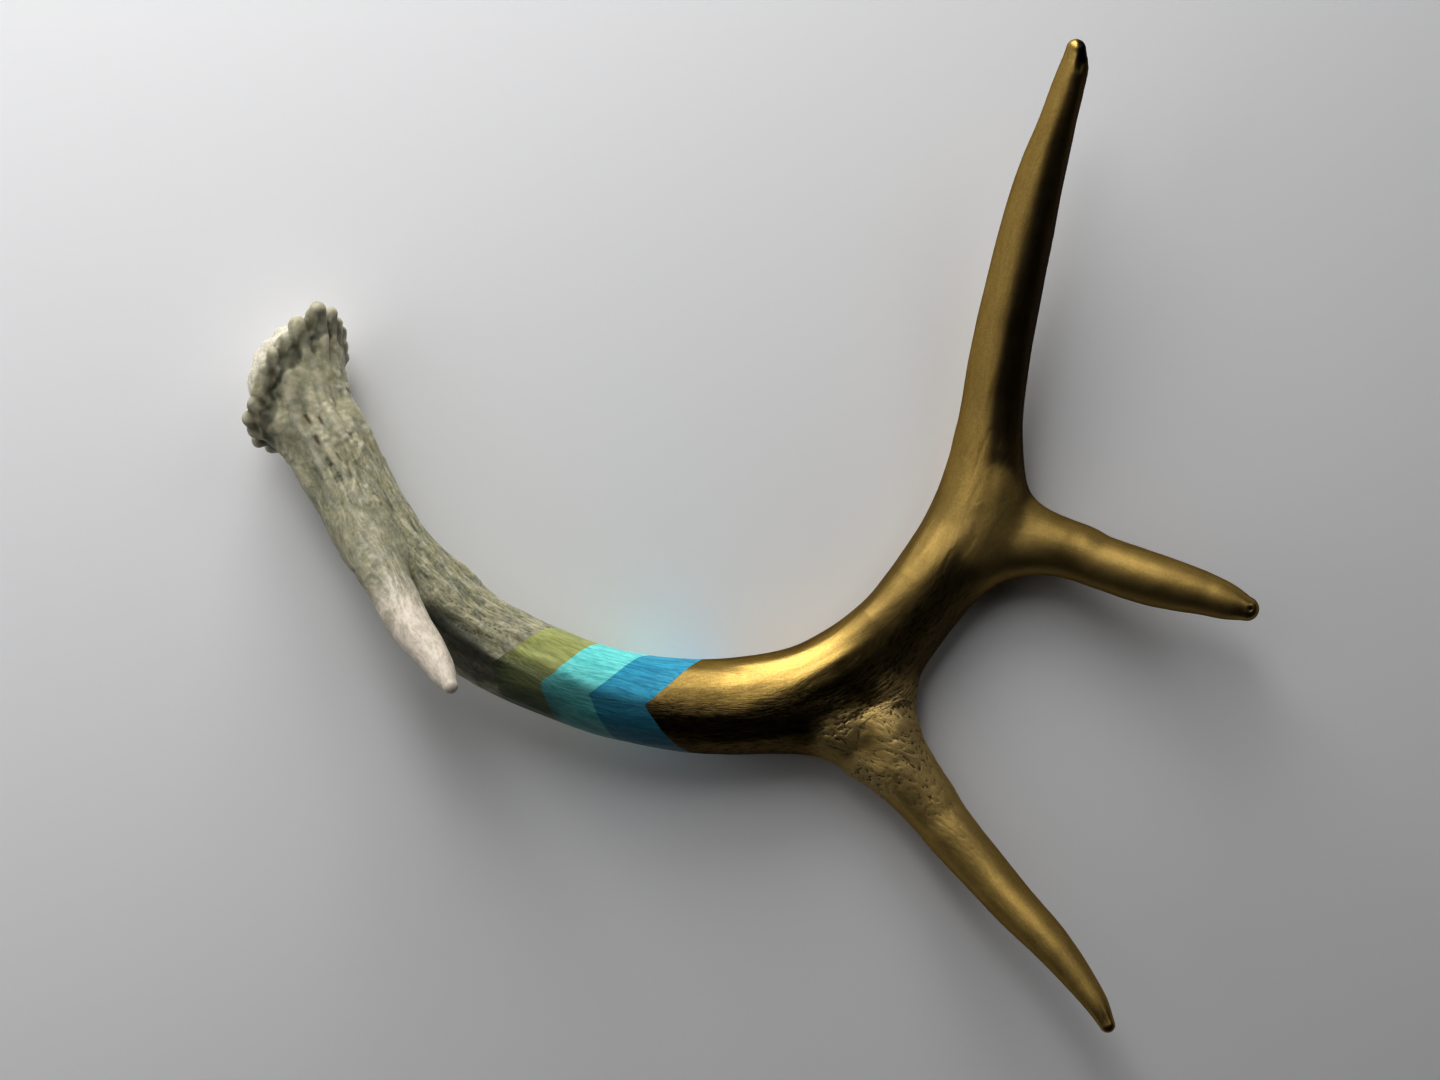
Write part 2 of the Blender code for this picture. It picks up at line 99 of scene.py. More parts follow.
SECOND_TINE = [
    (8.7, -58.7, 19.5, 9.5, 9.0),
    (33.4, -63.0, 15.5, 11.8, 11.0),
    (50.5, -71.2, 12.0, 11.4, 11.2),
    (61.9, -79.9, 10.4, 10.5, 10.7),
    (72.3, -91.7, 13.2, 9.3, 9.6),
    (79.7, -101.1, 17.5, 9.1, 9.1),
    (91.0, -114.0, 23.0, 8.5, 8.5),
    (101.8, -126.3, 30.0, 7.7, 7.7),
    (112.8, -137.7, 37.0, 6.7, 6.7),
    (122.6, -150.0, 43.5, 5.0, 5.0),
    (127.2, -156.8, 47.0, 3.9, 4.0),
    (130.0, -162.7, 49.8, 2.6, 2.6),
]
SECOND_WEB = [
    (71.0, -23.0, 14.0, 8.5, 9.0),
    (60.0, -42.0, 14.3, 10.4, 10.4),
    (56.5, -60.0, 14.0, 10.2, 10.0),
    (62.0, -76.0, 13.2, 8.6, 9.2),
    (72.5, -91.5, 14.5, 7.0, 7.6),
]
THIRD_WEB = [
    (93.2, 34.0, 17.0, 7.6, 7.6),
    (97.4, 21.5, 15.0, 8.2, 8.4),
    (104.4, 10.2, 14.0, 7.8, 8.4),
    (115.0, 2.3, 15.8, 7.0, 7.8),
    (127.0, -2.6, 19.0, 6.0, 6.8),
]
THIRD_TINE = [
    (70.0, -22.0, 14.0, 8.0, 8.0),
    (84.5, -9.0, 13.8, 10.5, 10.0),
    (100.6, -2.8, 14.2, 11.0, 10.6),
    (116.7, -2.6, 17.0, 10.0, 9.8),
    (125.5, -4.9, 19.0, 9.5, 9.3),
    (133.7, -8.0, 22.0, 9.4, 9.2),
    (150.2, -13.8, 28.0, 9.2, 9.0),
    (158.6, -16.2, 31.0, 8.5, 8.3),
    (166.5, -18.5, 34.0, 7.4, 7.2),
    (174.5, -21.5, 37.5, 6.0, 5.8),
    (179.3, -23.4, 39.6, 4.2, 4.2),
]
BROW_TINE = [
    (-133.6, 27.8, 26.0, 7.0, 7.0),
    (-126.8, 12.1, 31.0, 9.2, 9.0),
    (-119.8, -1.7, 39.5, 9.0, 9.0),
    (-109.8, -16.7, 52.0, 7.7, 8.2),
    (-101.6, -29.0, 62.0, 7.0, 7.4),
    (-94.7, -36.4, 69.0, 5.6, 6.0),
    (-89.2, -43.6, 76.0, 4.0, 4.2),
    (-86.8, -46.8, 79.5, 2.6, 2.6),
]
THIRD_PLATEAU = [
    (80.0, -12.0, 14.0, 8.0, 8.5),
    (87.5, -3.0, 14.6, 8.5, 10.0),
    (94.0, 6.5, 15.0, 8.5, 10.0),
    (97.0, 18.0, 16.2, 7.0, 8.8),
    (96.0, 30.0, 17.0, 6.0, 7.4),
]
SECOND_BLEND = 10.0  # how widely each limb melts into what it grows from
THIRD_BLEND = 10.0
WEB_BLEND = 6.0
BROW_BLEND = 7.0

# The burr: a leaning collar of knobs around the foot of the beam
BURR_CENTRE = np.array([-146.2, 56.0, 22.0])
BURR_HEADING = 153.0  # degrees from +X towards which it faces
BURR_LEAN = -23.0  # degrees by which it faces above the level
BURR_RADII = (24.0, 21.4)
BURR_CUP = (1.5, 0.0)  # how far the ring's top and bottom bend towards the seat
BURR_BLEND = 2.4
BURR_REACH = 48.0  # the burr shapes the skin no farther than this from its centre
FLARE_BLEND = 6.0
FLARE_FOOT = np.array([-140.6, 43.5, 24.0])
FLARE_SHARE = 0.44  # where a knob's root lies, as a share of its head's offset
FLARE_RISE = 0.14
KNOB_TAPER = 1.4  # a knob's root radius against its head's
# Each knob: degrees round the collar from its upper right end, reach, thickness, back lean
KNOBS = [
    (6, 1.03, 2.8, 0.5), (29, 1.09, 3.1, 0.5), (47, 0.98, 2.4, 0.0), (66, 0.94, 2.0, 0.5),
    (82, 0.98, 2.6, 1.5), (95, 0.97, 1.7, 1.0), (105, 0.96, 1.6, 0.5), (115, 0.96, 1.8, 0.5),
    (126, 1.05, 1.9, 0.5), (138, 1.09, 2.3, 0.5), (152, 1.06, 2.1, 0.5), (167, 1.05, 2.7, 0.5),
    (185, 1.06, 2.4, 0.5), (202, 1.03, 2.8, 0.5), (218, 1.00, 2.4, 0.5), (236, 1.03, 2.9, 0.5),
    (254, 1.00, 2.6, 0.5), (271, 1.00, 3.0, 0.5), (288, 0.94, 2.5, 0.5), (306, 0.86, 2.4, 0.5),
    (323, 0.88, 2.1, 0.5), (338, 0.93, 2.2, 0.5), (352, 0.96, 2.0, 0.5),
]
COLLAR_THICKNESS = 4.0
COLLAR_SHARE = 0.86  # the solid collar's radii against the ring's
SEAT_FORWARD = 4.4
SEAT_RADII = (17.8, 16.4, 12.3)

# Coarse ridges, as on the solids
BARE_RIDGES, PAINTED_RIDGES, TINE_RIDGES = 1.0, 0.14, 0.03
RIDGE_SIZE = (4.6, 21.0, 0.0)
BARE_LENGTH = 95.0  # length along the beam at which its ridges begin to calm down
CALM_LENGTH = 60.0
FORK_SOFTNESS = 6.0

# Fine relief. Each size gives a noise's width and length along a limb, and its own shift
SWAY_SIZE = (9.0, 26.0)
SWAY_SHIFTS = (40.0, 80.0)
SWAY_REACH = 2.2
WRINKLE_SIZE = (3.4, 17.0, 0.0)
GROOVE_SIZE = (2.3, 15.0, 17.0)
SCRATCH_SIZE = (1.5, 7.0, 31.0)
GNARL_SIZE = (4.2, 7.5, 53.0)
WRINKLE_HEIGHT = 0.26
GROOVE_DEPTH = 0.32
SCRATCH_DEPTH = 0.20
GNARL_HEIGHT = 0.30
GNARL_FADE = (62.0, 46.0)  # length along the beam over which the gnarls end
GROOVE_PATCHES = (0.4, 1.0)  # strength between the patches below, and on them
SCRATCH_PATCHES = (1.0, 0.4)
GNARL_PATCHES = (0.3, 1.0)
GROOVE_WIDTH = 0.34  # share of the noise's height that a groove takes up
GROOVE_POWER = 1.5
PATCH_SIZE = 19.0  # patches where grooves and gnarls are deep, with scratches between
PATCH_SHIFT = 7.0
PATCH_EDGE = (-0.4, 0.4)
BURR_CALM = 0.55  # share of the relief that is missing on the burr
FOOT_CALM = 0.75  # and at the beam's foot, which ends over this length
FOOT_FADE = (30.0, 12.0)
PAINTED_SHARE = 0.30  # relief left on the painted beam, against the bare beam
TINE_RELIEF_SHARE = 0.03
BROW_RELIEF_SHARE = 0.45
PEARL_SIZE = 2.6
PEARL_SPREAD = 0.55
PEARL_POWER = 0.7
PEARL_HEIGHT = 0.55
PEARL_FADE = (30.0, 18.0)  # length along the beam over which its pearls end
PEARL_PATCH = (11.0, -0.3, 0.3)  # size of the patches that carry pearls, and their edge
PEARL_CALM = 0.7  # share of the pearls that is missing on the burr
PEARL_LEAST = 0.01  # where there is less of them, none is worked out
SEAT_STIPPLE = (1.7, 0.09)
PAINT_FADE = (112.0, 134.0)
TINE_SOFTNESS = 7.0
LIMB_TINES = (0, 2, 5)  # the second, the third and the brow tine, in the antler's list
BROW_ORDER = 2
FORK_CUT = 1.5  # a tine's own piece begins this far past the middle of its fork
HOLLOW_ROUNDS = (3, 24)  # rounds of smoothing that find the small and the wide hollows

# Where masks set in: distance past a limb's end, past the beam's skin, and past the collar
TIP_LENGTH = (9.0, 3.0)
BURR_ONSET = (-1.0, 3.0)
SEAT_ONSET = (4.6, 7.0)
KNOB_ONSET = (-5.0, -2.5)

# The beam's lower side and the web of the second fork are fibrous, the rest is smoother
SMOOTH_SHARE = 0.30
FIBRE_SIDE = (-0.45, 0.20)  # turn round the beam, in radians, over which the fibres set in
FIBRE_BACK = (3.0, 2.2)  # and over which they end on the beam's underside
WEB_REACH = (42.0, 12.0)  # length along the second tine over which its fibres fade

# Creases and pits: half width, depth, and the points that each runs through, seen from above
CREASES = [
    (0.7, 0.13, [(93.5, 38.1), (90.4, 31.0), (88.6, 25.0), (86.2, 19.0), (84.8, 13.8),
                 (80.9, 5.0)]),
    (0.6, 0.12, [(88.3, 1.0), (86.1, -3.4), (83.5, -7.0)]),
    (0.6, 0.12, [(80.0, -4.0), (76.4, -11.0), (71.0, -18.0)]),
    (0.7, 0.22, [(56.4, -63.9), (57.9, -62.9), (59.4, -63.2), (60.6, -62.5)]),
    (0.6, 0.30, [(60.6, -82.9), (61.6, -84.2), (62.8, -84.9), (63.4, -86.2)]),
    (0.5, 0.12, [(6.8, -39.6), (8.9, -39.1), (10.5, -39.5), (13.2, -39.3)]),
    (0.5, 0.10, [(-1.0, -40.6), (3.0, -40.2)]),
    (1.5, 0.90, [(118.6, 155.2), (119.2, 157.6), (119.6, 160.4)]),
    (0.9, 0.60, [(179.6, -23.4), (180.8, -23.9)]),
]
MARK_UP = (0.05, 0.35)  # how far up the skin must face to take a mark
MARK_TAPER = 0.3  # share of its length over which a mark keeps its full depth
MARK_MARGIN = 3.0  # how many half widths past its route a mark is still felt

# Broad swellings of the second fork's web, drawn the same way: half width, height, points
SWELLS = [
    (9.0, 4.4, [(60.8, -56.0), (60.5, -61.9), (63.3, -72.3), (68.8, -82.7), (78.2, -94.5),
                (90.0, -110.0), (101.0, -123.0)]),
    (7.0, 1.2, [(40.0, -67.8), (48.7, -60.8), (57.4, -52.1)]),
    (6.0, 2.6, [(49.0, -79.0), (55.0, -82.0), (62.0, -88.0), (72.0, -100.0)]),
]
WEB_GROOVE_SIZE = (1.5, 7.0, 5.0)
WEB_GROOVE_DEPTH = 0.42
WEB_WRINKLE_SIZE = (3.4, 17.0, 3.0)
WEB_WRINKLE_HEIGHT = 0.35

# The third fork's plateau, whose paint is duller, drawn the same way without any height
PLATEAU = [
    (9.0, 0.0, [(97.0, 6.0), (89.0, -3.0), (80.0, -12.0)]),
    (9.0, 0.0, [(97.0, 6.0), (108.0, 2.0), (121.0, -2.0)]),
    (8.0, 0.0, [(97.0, 6.0), (96.0, 20.0), (97.0, 34.0)]),
]

# Brown nicks in the bare antler, drawn the same way
NICKS = [
    (0.55, 0.30, [(-141.3, 42.2), (-139.8, 40.2), (-137.9, 39.1)]),
    (0.50, 0.35, [(-136.8, 41.9), (-135.6, 39.8), (-133.8, 38.1)]),
    (0.55, 0.30, [(-137.9, 35.1), (-137.0, 33.0), (-135.5, 31.3)]),
    (0.50, 0.25, [(-129.4, 52.4), (-128.7, 50.0)]),
    (0.60, 0.35, [(-123.6, -10.2), (-122.5, -11.6)]),
    (0.60, 0.35, [(-121.2, -14.3), (-120.2, -16.0)]),
]

# Painted shade between the brow tine and the beam, and in the pit at the beam's tip, drawn the same
# way
SHADE_MARKS = [
    (7.4, 0.0, [(-99.5, -27.5), (-84.1, -41.0), (-73.0, -49.0), (-62.0, -57.0)]),
    (6.0, 0.0, [(-60.0, -61.0), (-72.0, -54.0), (-86.0, -43.0)]),
    (2.4, 0.0, [(120.0, 162.0), (119.2, 158.0), (118.3, 154.0)]),
]

# The crevice that parts the burr's knobs from the flare of the beam: its place ahead of the
# collar's middle, half width, depth, and how far from the collar's axis it sets in
CREVICE_PLACE, CREVICE_WIDTH, CREVICE_DEPTH = -4.8, 1.7, 0.40
CREVICE_RADII = (10.0, 14.0)
CREVICE_SWAY = 1.4
CREVICE_SWAY_SIZE = 4.0

# How the beam's crest leans to the inner side of its curve: length along the beam, and slope
LEAN = [(145.0, 0.0), (168.0, -0.12), (200.0, -0.05), (232.0, 0.22), (258.0, 0.42),
        (280.0, 0.32), (305.0, 0.0), (335.0, -0.15)]
LEAN_TOP = (-5.0, 7.0)  # height above the beam's middle over which the lean sets in
LEAN_REACH = 14.0

# The four edges of the chevrons: length along the beam at the point, the point's place round the
# beam in radians, and how fast the two arms fall back
EDGES = [
    (112.8, 0.32, 0.54, 0.75),
    (130.1, 0.24, 0.53, 0.72),
    (146.5, 0.07, 0.76, 0.72),
    (165.3, 0.04, 0.90, 0.90),
]
EDGE_RADIUS = 14.8
EDGE_WOBBLE = 0.15
EDGE_WOBBLE_SIZE = 3.1
EDGE_BACK = (1.7, 3.1)  # turn over which the two arms run together on the underside
SNAP_SHARE = 0.2  # an edge crossed this close to its end moves that end onto the line

# The pieces of the skin: each one's finish, and the solids that it stands for
PIECES = {
    "bare_beam": ("bare_antler", ["main_beam"]),
    "bare_brow_tine": ("bare_antler", ["brow_tine"]),
    "olive_band": ("olive_paint", ["main_beam"]),
    "turquoise_band": ("turquoise_paint", ["main_beam"]),
    "blue_band": ("blue_paint", ["main_beam"]),
    "gold_beam": ("gold_paint", ["main_beam"]),
    "gold_second_tine": ("gold_paint", ["second_tine"]),
    "gold_third_tine": ("gold_paint", ["third_tine"]),
}
BEAM_PIECES = ["bare_beam", "olive_band", "turquoise_band", "blue_band", "gold_beam"]
# The tines' pieces in the order of LIMB_TINES, and the place in BEAM_PIECES of what each leaves
TINE_PIECES = [("gold_second_tine", 4), ("gold_third_tine", 4), ("bare_brow_tine", 0)]
# What the skin keeps for each vertex and the finishes read, by its name in the class Skin
PAINTED_VALUES = ["place", "grain", "twig", "tine", "nick", "crevice", "hollow", "basin", "knob",
                  "seat", "brow", "reach", "along", "fibre", "web", "plateau", "dirt", "tip"]

# In the finishes below, a pattern is a noise's width, length, detail and roughness. A run is
# where a value starts and ends, and what it is turned into there. A wash is a colour, and the
# kept values, each with its run, whose product is its share

# Bare antler
BARE_SPECKLE = (0.75, 1.5, 3.0, 0.6)
BARE_MOTTLE = (2.2, 5.0, 3.0, 0.55)
BARE_STREAKS = (1.1, 9.0, 3.0, 0.6)
BARE_WARMTH = (6.0, 6.0, 3.0, 0.55)
BURR_MOTTLE = (3.2, 3.2, 3.0, 0.6)
SEAT_MOTTLE = (0.9, 0.9, 2.0, 0.6)
# Hollows darken the bare antler's tone: painted shade
BARE_SHARES = (0.34, 0.38, 0.28, -0.35)  # of speckle, mottle, streaks and hollows in its shade
BARE_COLOURS = [
    (0.36, (0.205, 0.200, 0.125)),
    (0.44, (0.340, 0.325, 0.205)),
    (0.53, (0.490, 0.465, 0.315)),
    (0.62, (0.680, 0.630, 0.465)),
]
COOL_COLOURS = [
    (0.36, (0.110, 0.125, 0.095)),
    (0.45, (0.210, 0.225, 0.170)),
    (0.54, (0.350, 0.355, 0.275)),
    (0.64, (0.560, 0.540, 0.440)),
]
COOL_RUN = (0.44, 0.62, 0.0, 0.55)
BURR_CALM_GRAIN = (0.40, 0.33)  # strength and level of the calm noise near the burr
FLARE_FADE = (16.0, 40.0)  # length along the beam over which the grain takes over from it
# Painted shade tinted grey-green in hollows, basins and the burr's crevice; darker knobs with
# painted shade between them; brown nicks
BASIN_GREEN = (0.060, 0.065, 0.050)
BARE_WASHES = [
    ((0.055, 0.060, 0.042), ("hollow", 0.06, 0.26, 0.0, 0.55)),
    (BASIN_GREEN, ("basin", 0.4, 1.6, 0.0, 0.8)),
    (BASIN_GREEN, ("crevice", 0.2, 0.9, 0.0, 0.55)),
    ((0.15, 0.140, 0.085), ("knob", 0.3, 1.0), ("basin", -0.5, 0.4, 0.25, 0.95)),
    ((0.13, 0.07, 0.04), ("nick",)),
]
SEAT_COLOURS = ((0.64, 0.60, 0.49), (0.78, 0.74, 0.62))
SEAT_RUN = (0.38, 0.62)
BROW_ROOT = (0.20, 0.185, 0.135)
BROW_ROOT_SHARE = 0.35
BROW_PALE = (72.0, 106.0)  # length along the brow tine over which it turns pale
BROW_RAGGED = 28.0  # how far noise moves that length
ROSY_COLOURS = ((0.60, 0.53, 0.43), (0.80, 0.72, 0.61))
ROSY_RUN = (0.4, 0.6)
# Painted shade under the brow tine and in the pit at the beam's tip: its colour, and its share on
# the bare antler
SHADE_MARK_DARK = (0.030, 0.032, 0.024)
BARE_SHADE_MARK = (SHADE_MARK_DARK, ("dirt", 0.15, 0.8, 0.0, 0.85))
BARE_ROUGHNESS = (0.3, 0.7, 0.62, 0.48)
BARE_BUMP_SHARES = (0.4, 0.6)  # of streaks and speckle
BARE_BUMP = 0.22

# Paints: dark and light brush streaks, then the patches and how strong they are
BAND_PAINTS = {
    "olive_paint": ((0.33, 0.35, 0.115), (0.54, 0.57, 0.22), (0.20, 0.14, 0.05), 0.5),
    "turquoise_paint": ((0.10, 0.64, 0.61), (0.32, 0.97, 0.94), (0.08, 0.60, 0.60), 0.3),
    "blue_paint": ((0.012, 0.26, 0.42), (0.06, 0.51, 0.72), (0.018, 0.24, 0.40), 0.3),
}
BRUSH = (0.9, 16.0, 4.0, 0.6)
FLECK = (0.55, 4.0, 3.0, 0.6)
PAINT_CLOUD = (7.0, 7.0, 3.0, 0.5)
BRUSH_SHARES = (0.6, 0.4)  # of brush and fleck
BRUSH_RUN = (0.36, 0.62)
PATCH_RUN = (0.52, 0.78)
WORN_FLECK = (0.56, 0.72)
WORN_FIBRE = (0.4, 0.9)
WORN_SHARE = 0.6
# Painted shade on the bands: darker on their lower, fibrous side and under the brow tine
PAINT_SHADE = (0.012, 0.030, 0.028)
PAINT_WASHES = [
    (PAINT_SHADE, ("fibre", 0.35, 1.0, 0.0, 0.64)),
    (PAINT_SHADE, ("dirt", 0.1, 0.8, 0.0, 0.6)),
]
# Painted shade in the paint's hollows, in its own dark streak colour
PAINT_HOLLOW = ("hollow", 0.03, 0.14, 0.0, 0.45)
PAINT_ROUGHNESS = (0.3, 0.7, 0.50, 0.38)
PAINT_BUMP = 0.45

# Gold paint
GOLD_STREAKS = (0.7, 5.0, 3.0, 0.6)
GOLD_LONG_STREAKS = (1.6, 22.0, 3.0, 0.55)
GOLD_CLOUD = (9.0, 9.0, 3.0, 0.5)
GOLD_SPECKLE = (0.34, 0.34, 2.0, 0.6)
GOLD_SHARES = (0.3, 0.3, 0.2, 0.2)  # of streaks, long streaks, cloud and speckle in its shade
GOLD_COLOURS = [
    (0.36, (0.31, 0.206, 0.052)),
    (0.48, (0.37, 0.250, 0.066)),
    (0.60, (0.44, 0.302, 0.088)),
]
# The pale gold of the flakes, and of the painted highlight on the second fork's web
GOLD_FLAKE_AND_HIGHLIGHT = (0.70, 0.55, 0.28)
FLAKE_SIZE = 0.5
FLAKE_SHARE = 0.25
WEB_PAINTED_HIGHLIGHT = 0.5
# The dark gold of the painted shade: on the lower side, in hollows and in the gaps between fibres
GOLD_SHADE = (0.05, 0.033, 0.015)
PLATEAU_FIBRE = (0.1, 0.7, 1.0, 0.25)  # what the plateau leaves of the fibres
SIDE_DARK = (0.4, 1.0, 0.0, 0.7)  # how dark the painted shade on the fibrous lower side is
WEB_LIGHT = (0.0, 0.5, 1.0, 0.0)  # but none of that painted shade on the web
UPPER_SIDE = (0.5, 1.0)
UPPER_DARK = (312.0, 352.0)  # length along the beam over which its lower side's painted shade grows
UPPER_LIGHT = (395.0, 455.0, 0.75, 0.3)  # and over which that painted shade grows lighter again
GOLD_WASHES = [
    # painted shade in the gold's hollows
    (GOLD_SHADE, ("hollow", 0.03, 0.14, 0.0, 0.8)),
    # painted shade on the beam around the third fork, fading out towards the upper beam
    ((0.14, 0.105, 0.045), ("along", 235.0, 262.0, 0.0, 0.35), ("along", 330.0, 305.0)),
]
GAP_RUN = (0.50, 0.40)  # painted shade in the gaps between the fibres
GAP_SHARE = (0.4, 1.0, 0.0, 0.8)
# Painted shade in the pit at the beam's tip, on the gold
GOLD_SHADE_MARK = (SHADE_MARK_DARK, ("dirt", 0.3, 0.7))
METALLIC_RUN = (0.0, 0.8, 1.0, 0.64)  # less like metal on the web and the plateau
FIBRE_END = (310.0, 282.0)  # length along the beam over which its fibres fade
WEB_FIBRE = 1.5
FIBRE_BUMP_SHARES = (0.8, 0.2)  # of streaks and speckle
SMOOTH_BUMP_SHARES = (1.0, 0.06, 0.05)  # of the fibres, speckle and long streaks
GOLD_BUMP = 0.28
GOLD_ROUGHNESS = (0.3, 0.7, 0.30, 0.36)
WEB_ROUGHNESS = 0.06  # added on the second fork's web
MATTE_GOLD = (232.0, 262.0)  # length along the beam over which its paint turns duller
MATTE_ROUGHNESS = (0.0, 1.0, 0.0, 0.17)  # added there and on the tines
TIP_GLOSS = 0.16  # taken off the roughness at the tips
GOLD_EDGE = (0.14, 0.12, 0.08)
GOLD_COAT = 0.12
GOLD_COAT_ROUGHNESS = 0.34

# The camera, straight above the antler, and the floor
CAMERA_HEIGHT = 750.0
CAMERA_LENS = 52.15
SENSOR = 36.0
FLOOR_DROP = 0.2
FLOOR_SIZE = 1500.0
FLOOR_COLOUR = (0.91, 0.91, 0.92)
FLOOR_ROUGHNESS = 0.9

# White lights: name, degrees round the antler from +X, degrees above the floor, distance, size,
# power in watts
LIGHTS = [
    ("key", 104.0, 21.0, 950.0, (640.0, 740.0), 6.8),
    ("key_high", 106.0, 55.0, 1000.0, (290.0, 480.0), 1.75),
    ("left_high", 138.0, 60.0, 1500.0, (1140.0, 780.0), 2.2),
    ("right_high", 42.0, 46.0, 2000.0, (760.0, 840.0), 2.8),
    ("left", 150.0, 30.0, 650.0, (700.0, 500.0), 0.7),
    ("left_low", 192.0, 25.0, 700.0, (420.0, 620.0), 0.5),
    ("right_low", 45.0, 10.0, 1900.0, (810.0, 600.0), 0.6),
]
WORLD_TINT = (0.9, 0.95, 1.0)
WORLD_STRENGTH = 0.004
PICTURE_GAMMA = 0.8


def unit(vectors):
    """Each row scaled to length one."""
    return vectors / np.linalg.norm(vectors, axis=-1, keepdims=True)


def rows_along(stations):
    """The stations' values read off a smooth curve through them, about every ROUTE_SPACING."""
    rows = np.array(stations, dtype=float)
    steps = np.linalg.norm(np.diff(rows[:, :3], axis=0), axis=1)
    places = np.concatenate([[0.0], np.cumsum(steps)])
    slopes = np.gradient(rows, places, axis=0)
    curve = []
    for start, step in enumerate(steps):
        count = max(2, round(step / ROUTE_SPACING))
        for t in np.arange(count) / count:
            back = (1 + 2 * t) * (1 - t) ** 2 * rows[start]
            back = back + t * (1 - t) ** 2 * step * slopes[start]
            ahead = t * t * (3 - 2 * t) * rows[start + 1]
            ahead = ahead + t * t * (t - 1) * step * slopes[start + 1]
            curve.append(back + ahead)
    curve.append(rows[-1])
    return np.array(curve)


class Branch:
    """A tapering limb with an oval section, along a smooth curve."""

    def __init__(self, stations):
        rows = rows_along(stations)
        self.points = rows[:, :3]
        self.wide = rows[:, 3]
        self.deep = rows[:, 4]
        steps = np.linalg.norm(np.diff(self.points, axis=0), axis=1)
        self.places = np.concatenate([[0.0], np.cumsum(steps)])
        self.headings = unit(np.gradient(self.points, self.places, axis=0))
        self.sides = unit(np.cross(self.headings, (0.0, 0.0, 1.0)))
        self.tops = np.cross(self.sides, self.headings)

    def read(self, values, along):
        """The limb's values at the given lengths along it."""
        columns = [np.interp(along, self.places, column) for column in values.T]
        return np.stack(columns, axis=-1)

    def locate(self, points):
        """Each point's length along the limb, and its offsets across, up and ahead of it."""
        nearest = np.empty(len(points), dtype=int)
        squares = (self.points ** 2).sum(axis=1)
        for start in range(0, len(points), POINTS_AT_ONCE):
            block = points[start:start + POINTS_AT_ONCE]
            gaps = squares[None, :] - 2.0 * block @ self.points.T
            nearest[start:start + POINTS_AT_ONCE] = gaps.argmin(axis=1)
        forward = ((points - self.points[nearest]) * self.headings[nearest]).sum(axis=1)
        along = np.clip(self.places[nearest] + forward, 0.0, self.places[-1])
        offsets = points - self.read(self.points, along)
        across = (offsets * self.read(self.sides, along)).sum(axis=1)
        up = (offsets * self.read(self.tops, along)).sum(axis=1)
        ahead = (offsets * self.read(self.headings, along)).sum(axis=1)
        return along, across, up, ahead

    def near(self, points):
        """Which points the limb can shape."""
        low = self.points.min(axis=0) - LIMB_REACH
        high = self.points.max(axis=0) + LIMB_REACH
        return ((points > low) & (points < high)).all(axis=1)

    def distance(self, points):
        """About how far each point lies outside the limb's skin; less than zero inside."""
        near = self.near(points)
        gaps = np.full(len(points), FAR)
        along, across, up, ahead = self.locate(points[near])
        wide = np.interp(along, self.places, self.wide)
        deep = np.interp(along, self.places, self.deep)
        narrow = np.minimum(wide, deep)
        share = np.sqrt((across / wide) ** 2 + (up / deep) ** 2 + (ahead / narrow) ** 2)
        gaps[near] = (share - 1.0) * np.sqrt(wide * deep)
        return gaps


class Knob:
    """A round-headed finger that thins or thickens from its root to its head."""

    def __init__(self, root, head, root_radius, head_radius):
        self.root = root
        self.head = head
        self.radii = (root_radius, head_radius)

    def distance(self, points):
        """How far each point lies outside the knob."""
        span = self.head - self.root
        share = np.clip((points - self.root) @ span / (span @ span), 0.0, 1.0)
        nearest = self.root + share[:, None] * span
        radius = self.radii[0] + share * (self.radii[1] - self.radii[0])
        return np.linalg.norm(points - nearest, axis=1) - radius


class Pebble:
    """An ellipsoid with its own three directions, given as the rows of a matrix."""

    def __init__(self, centre, radii, directions):
        self.centre = centre
        self.radii = np.array(radii)
        self.directions = directions

    def distance(self, points):
        """About how far each point lies outside the ellipsoid."""
        shares = (points - self.centre) @ self.directions.T / self.radii
        return (np.linalg.norm(shares, axis=1) - 1.0) * self.radii.min()


def burr_directions():
    """The burr's own directions as rows: level and across, up, and the way that it faces."""
    heading = radians(BURR_HEADING)
    lean = radians(BURR_LEAN)
    facing = np.array([cos(heading) * cos(lean), sin(heading) * cos(lean), sin(lean)])
    level = np.array([sin(heading), -cos(heading), 0.0])
    return np.array([level, np.cross(level, facing), facing])


def burr_place(angle, share):
    """A point of the burr's collar: its angle round the ring and its share of the ring's reach."""
    level, up, facing = burr_directions()
    angle = radians(angle)
    cup = BURR_CUP[0] if sin(angle) > 0 else BURR_CUP[1]
    ring = level * BURR_RADII[0] * cos(angle) + up * BURR_RADII[1] * sin(angle)
    return BURR_CENTRE + share * ring + facing * cup * sin(angle) ** 2 * share


def burr_knobs():
    """The knobs round the burr, each growing out of the foot of the beam."""
    facing = burr_directions()[2]
    knobs = []
    for angle, reach, thickness, back in KNOBS:
        head = burr_place(angle, reach) - facing * back
        share = FLARE_SHARE + FLARE_RISE * max(0.0, sin(radians(angle))) ** 2
        root = FLARE_FOOT + (head - BURR_CENTRE) * share
        knobs.append(Knob(root, head, thickness * KNOB_TAPER, thickness))
    return knobs


def collar():
    """The solid disc from which the knobs stand out."""
    radii = (BURR_RADII[0] * COLLAR_SHARE, BURR_RADII[1] * COLLAR_SHARE, COLLAR_THICKNESS)
    return Pebble(BURR_CENTRE, radii, burr_directions())


def seat():
    """The rounded seat below the burr."""
    directions = burr_directions()
    return Pebble(BURR_CENTRE + directions[2] * SEAT_FORWARD, SEAT_RADII, directions)


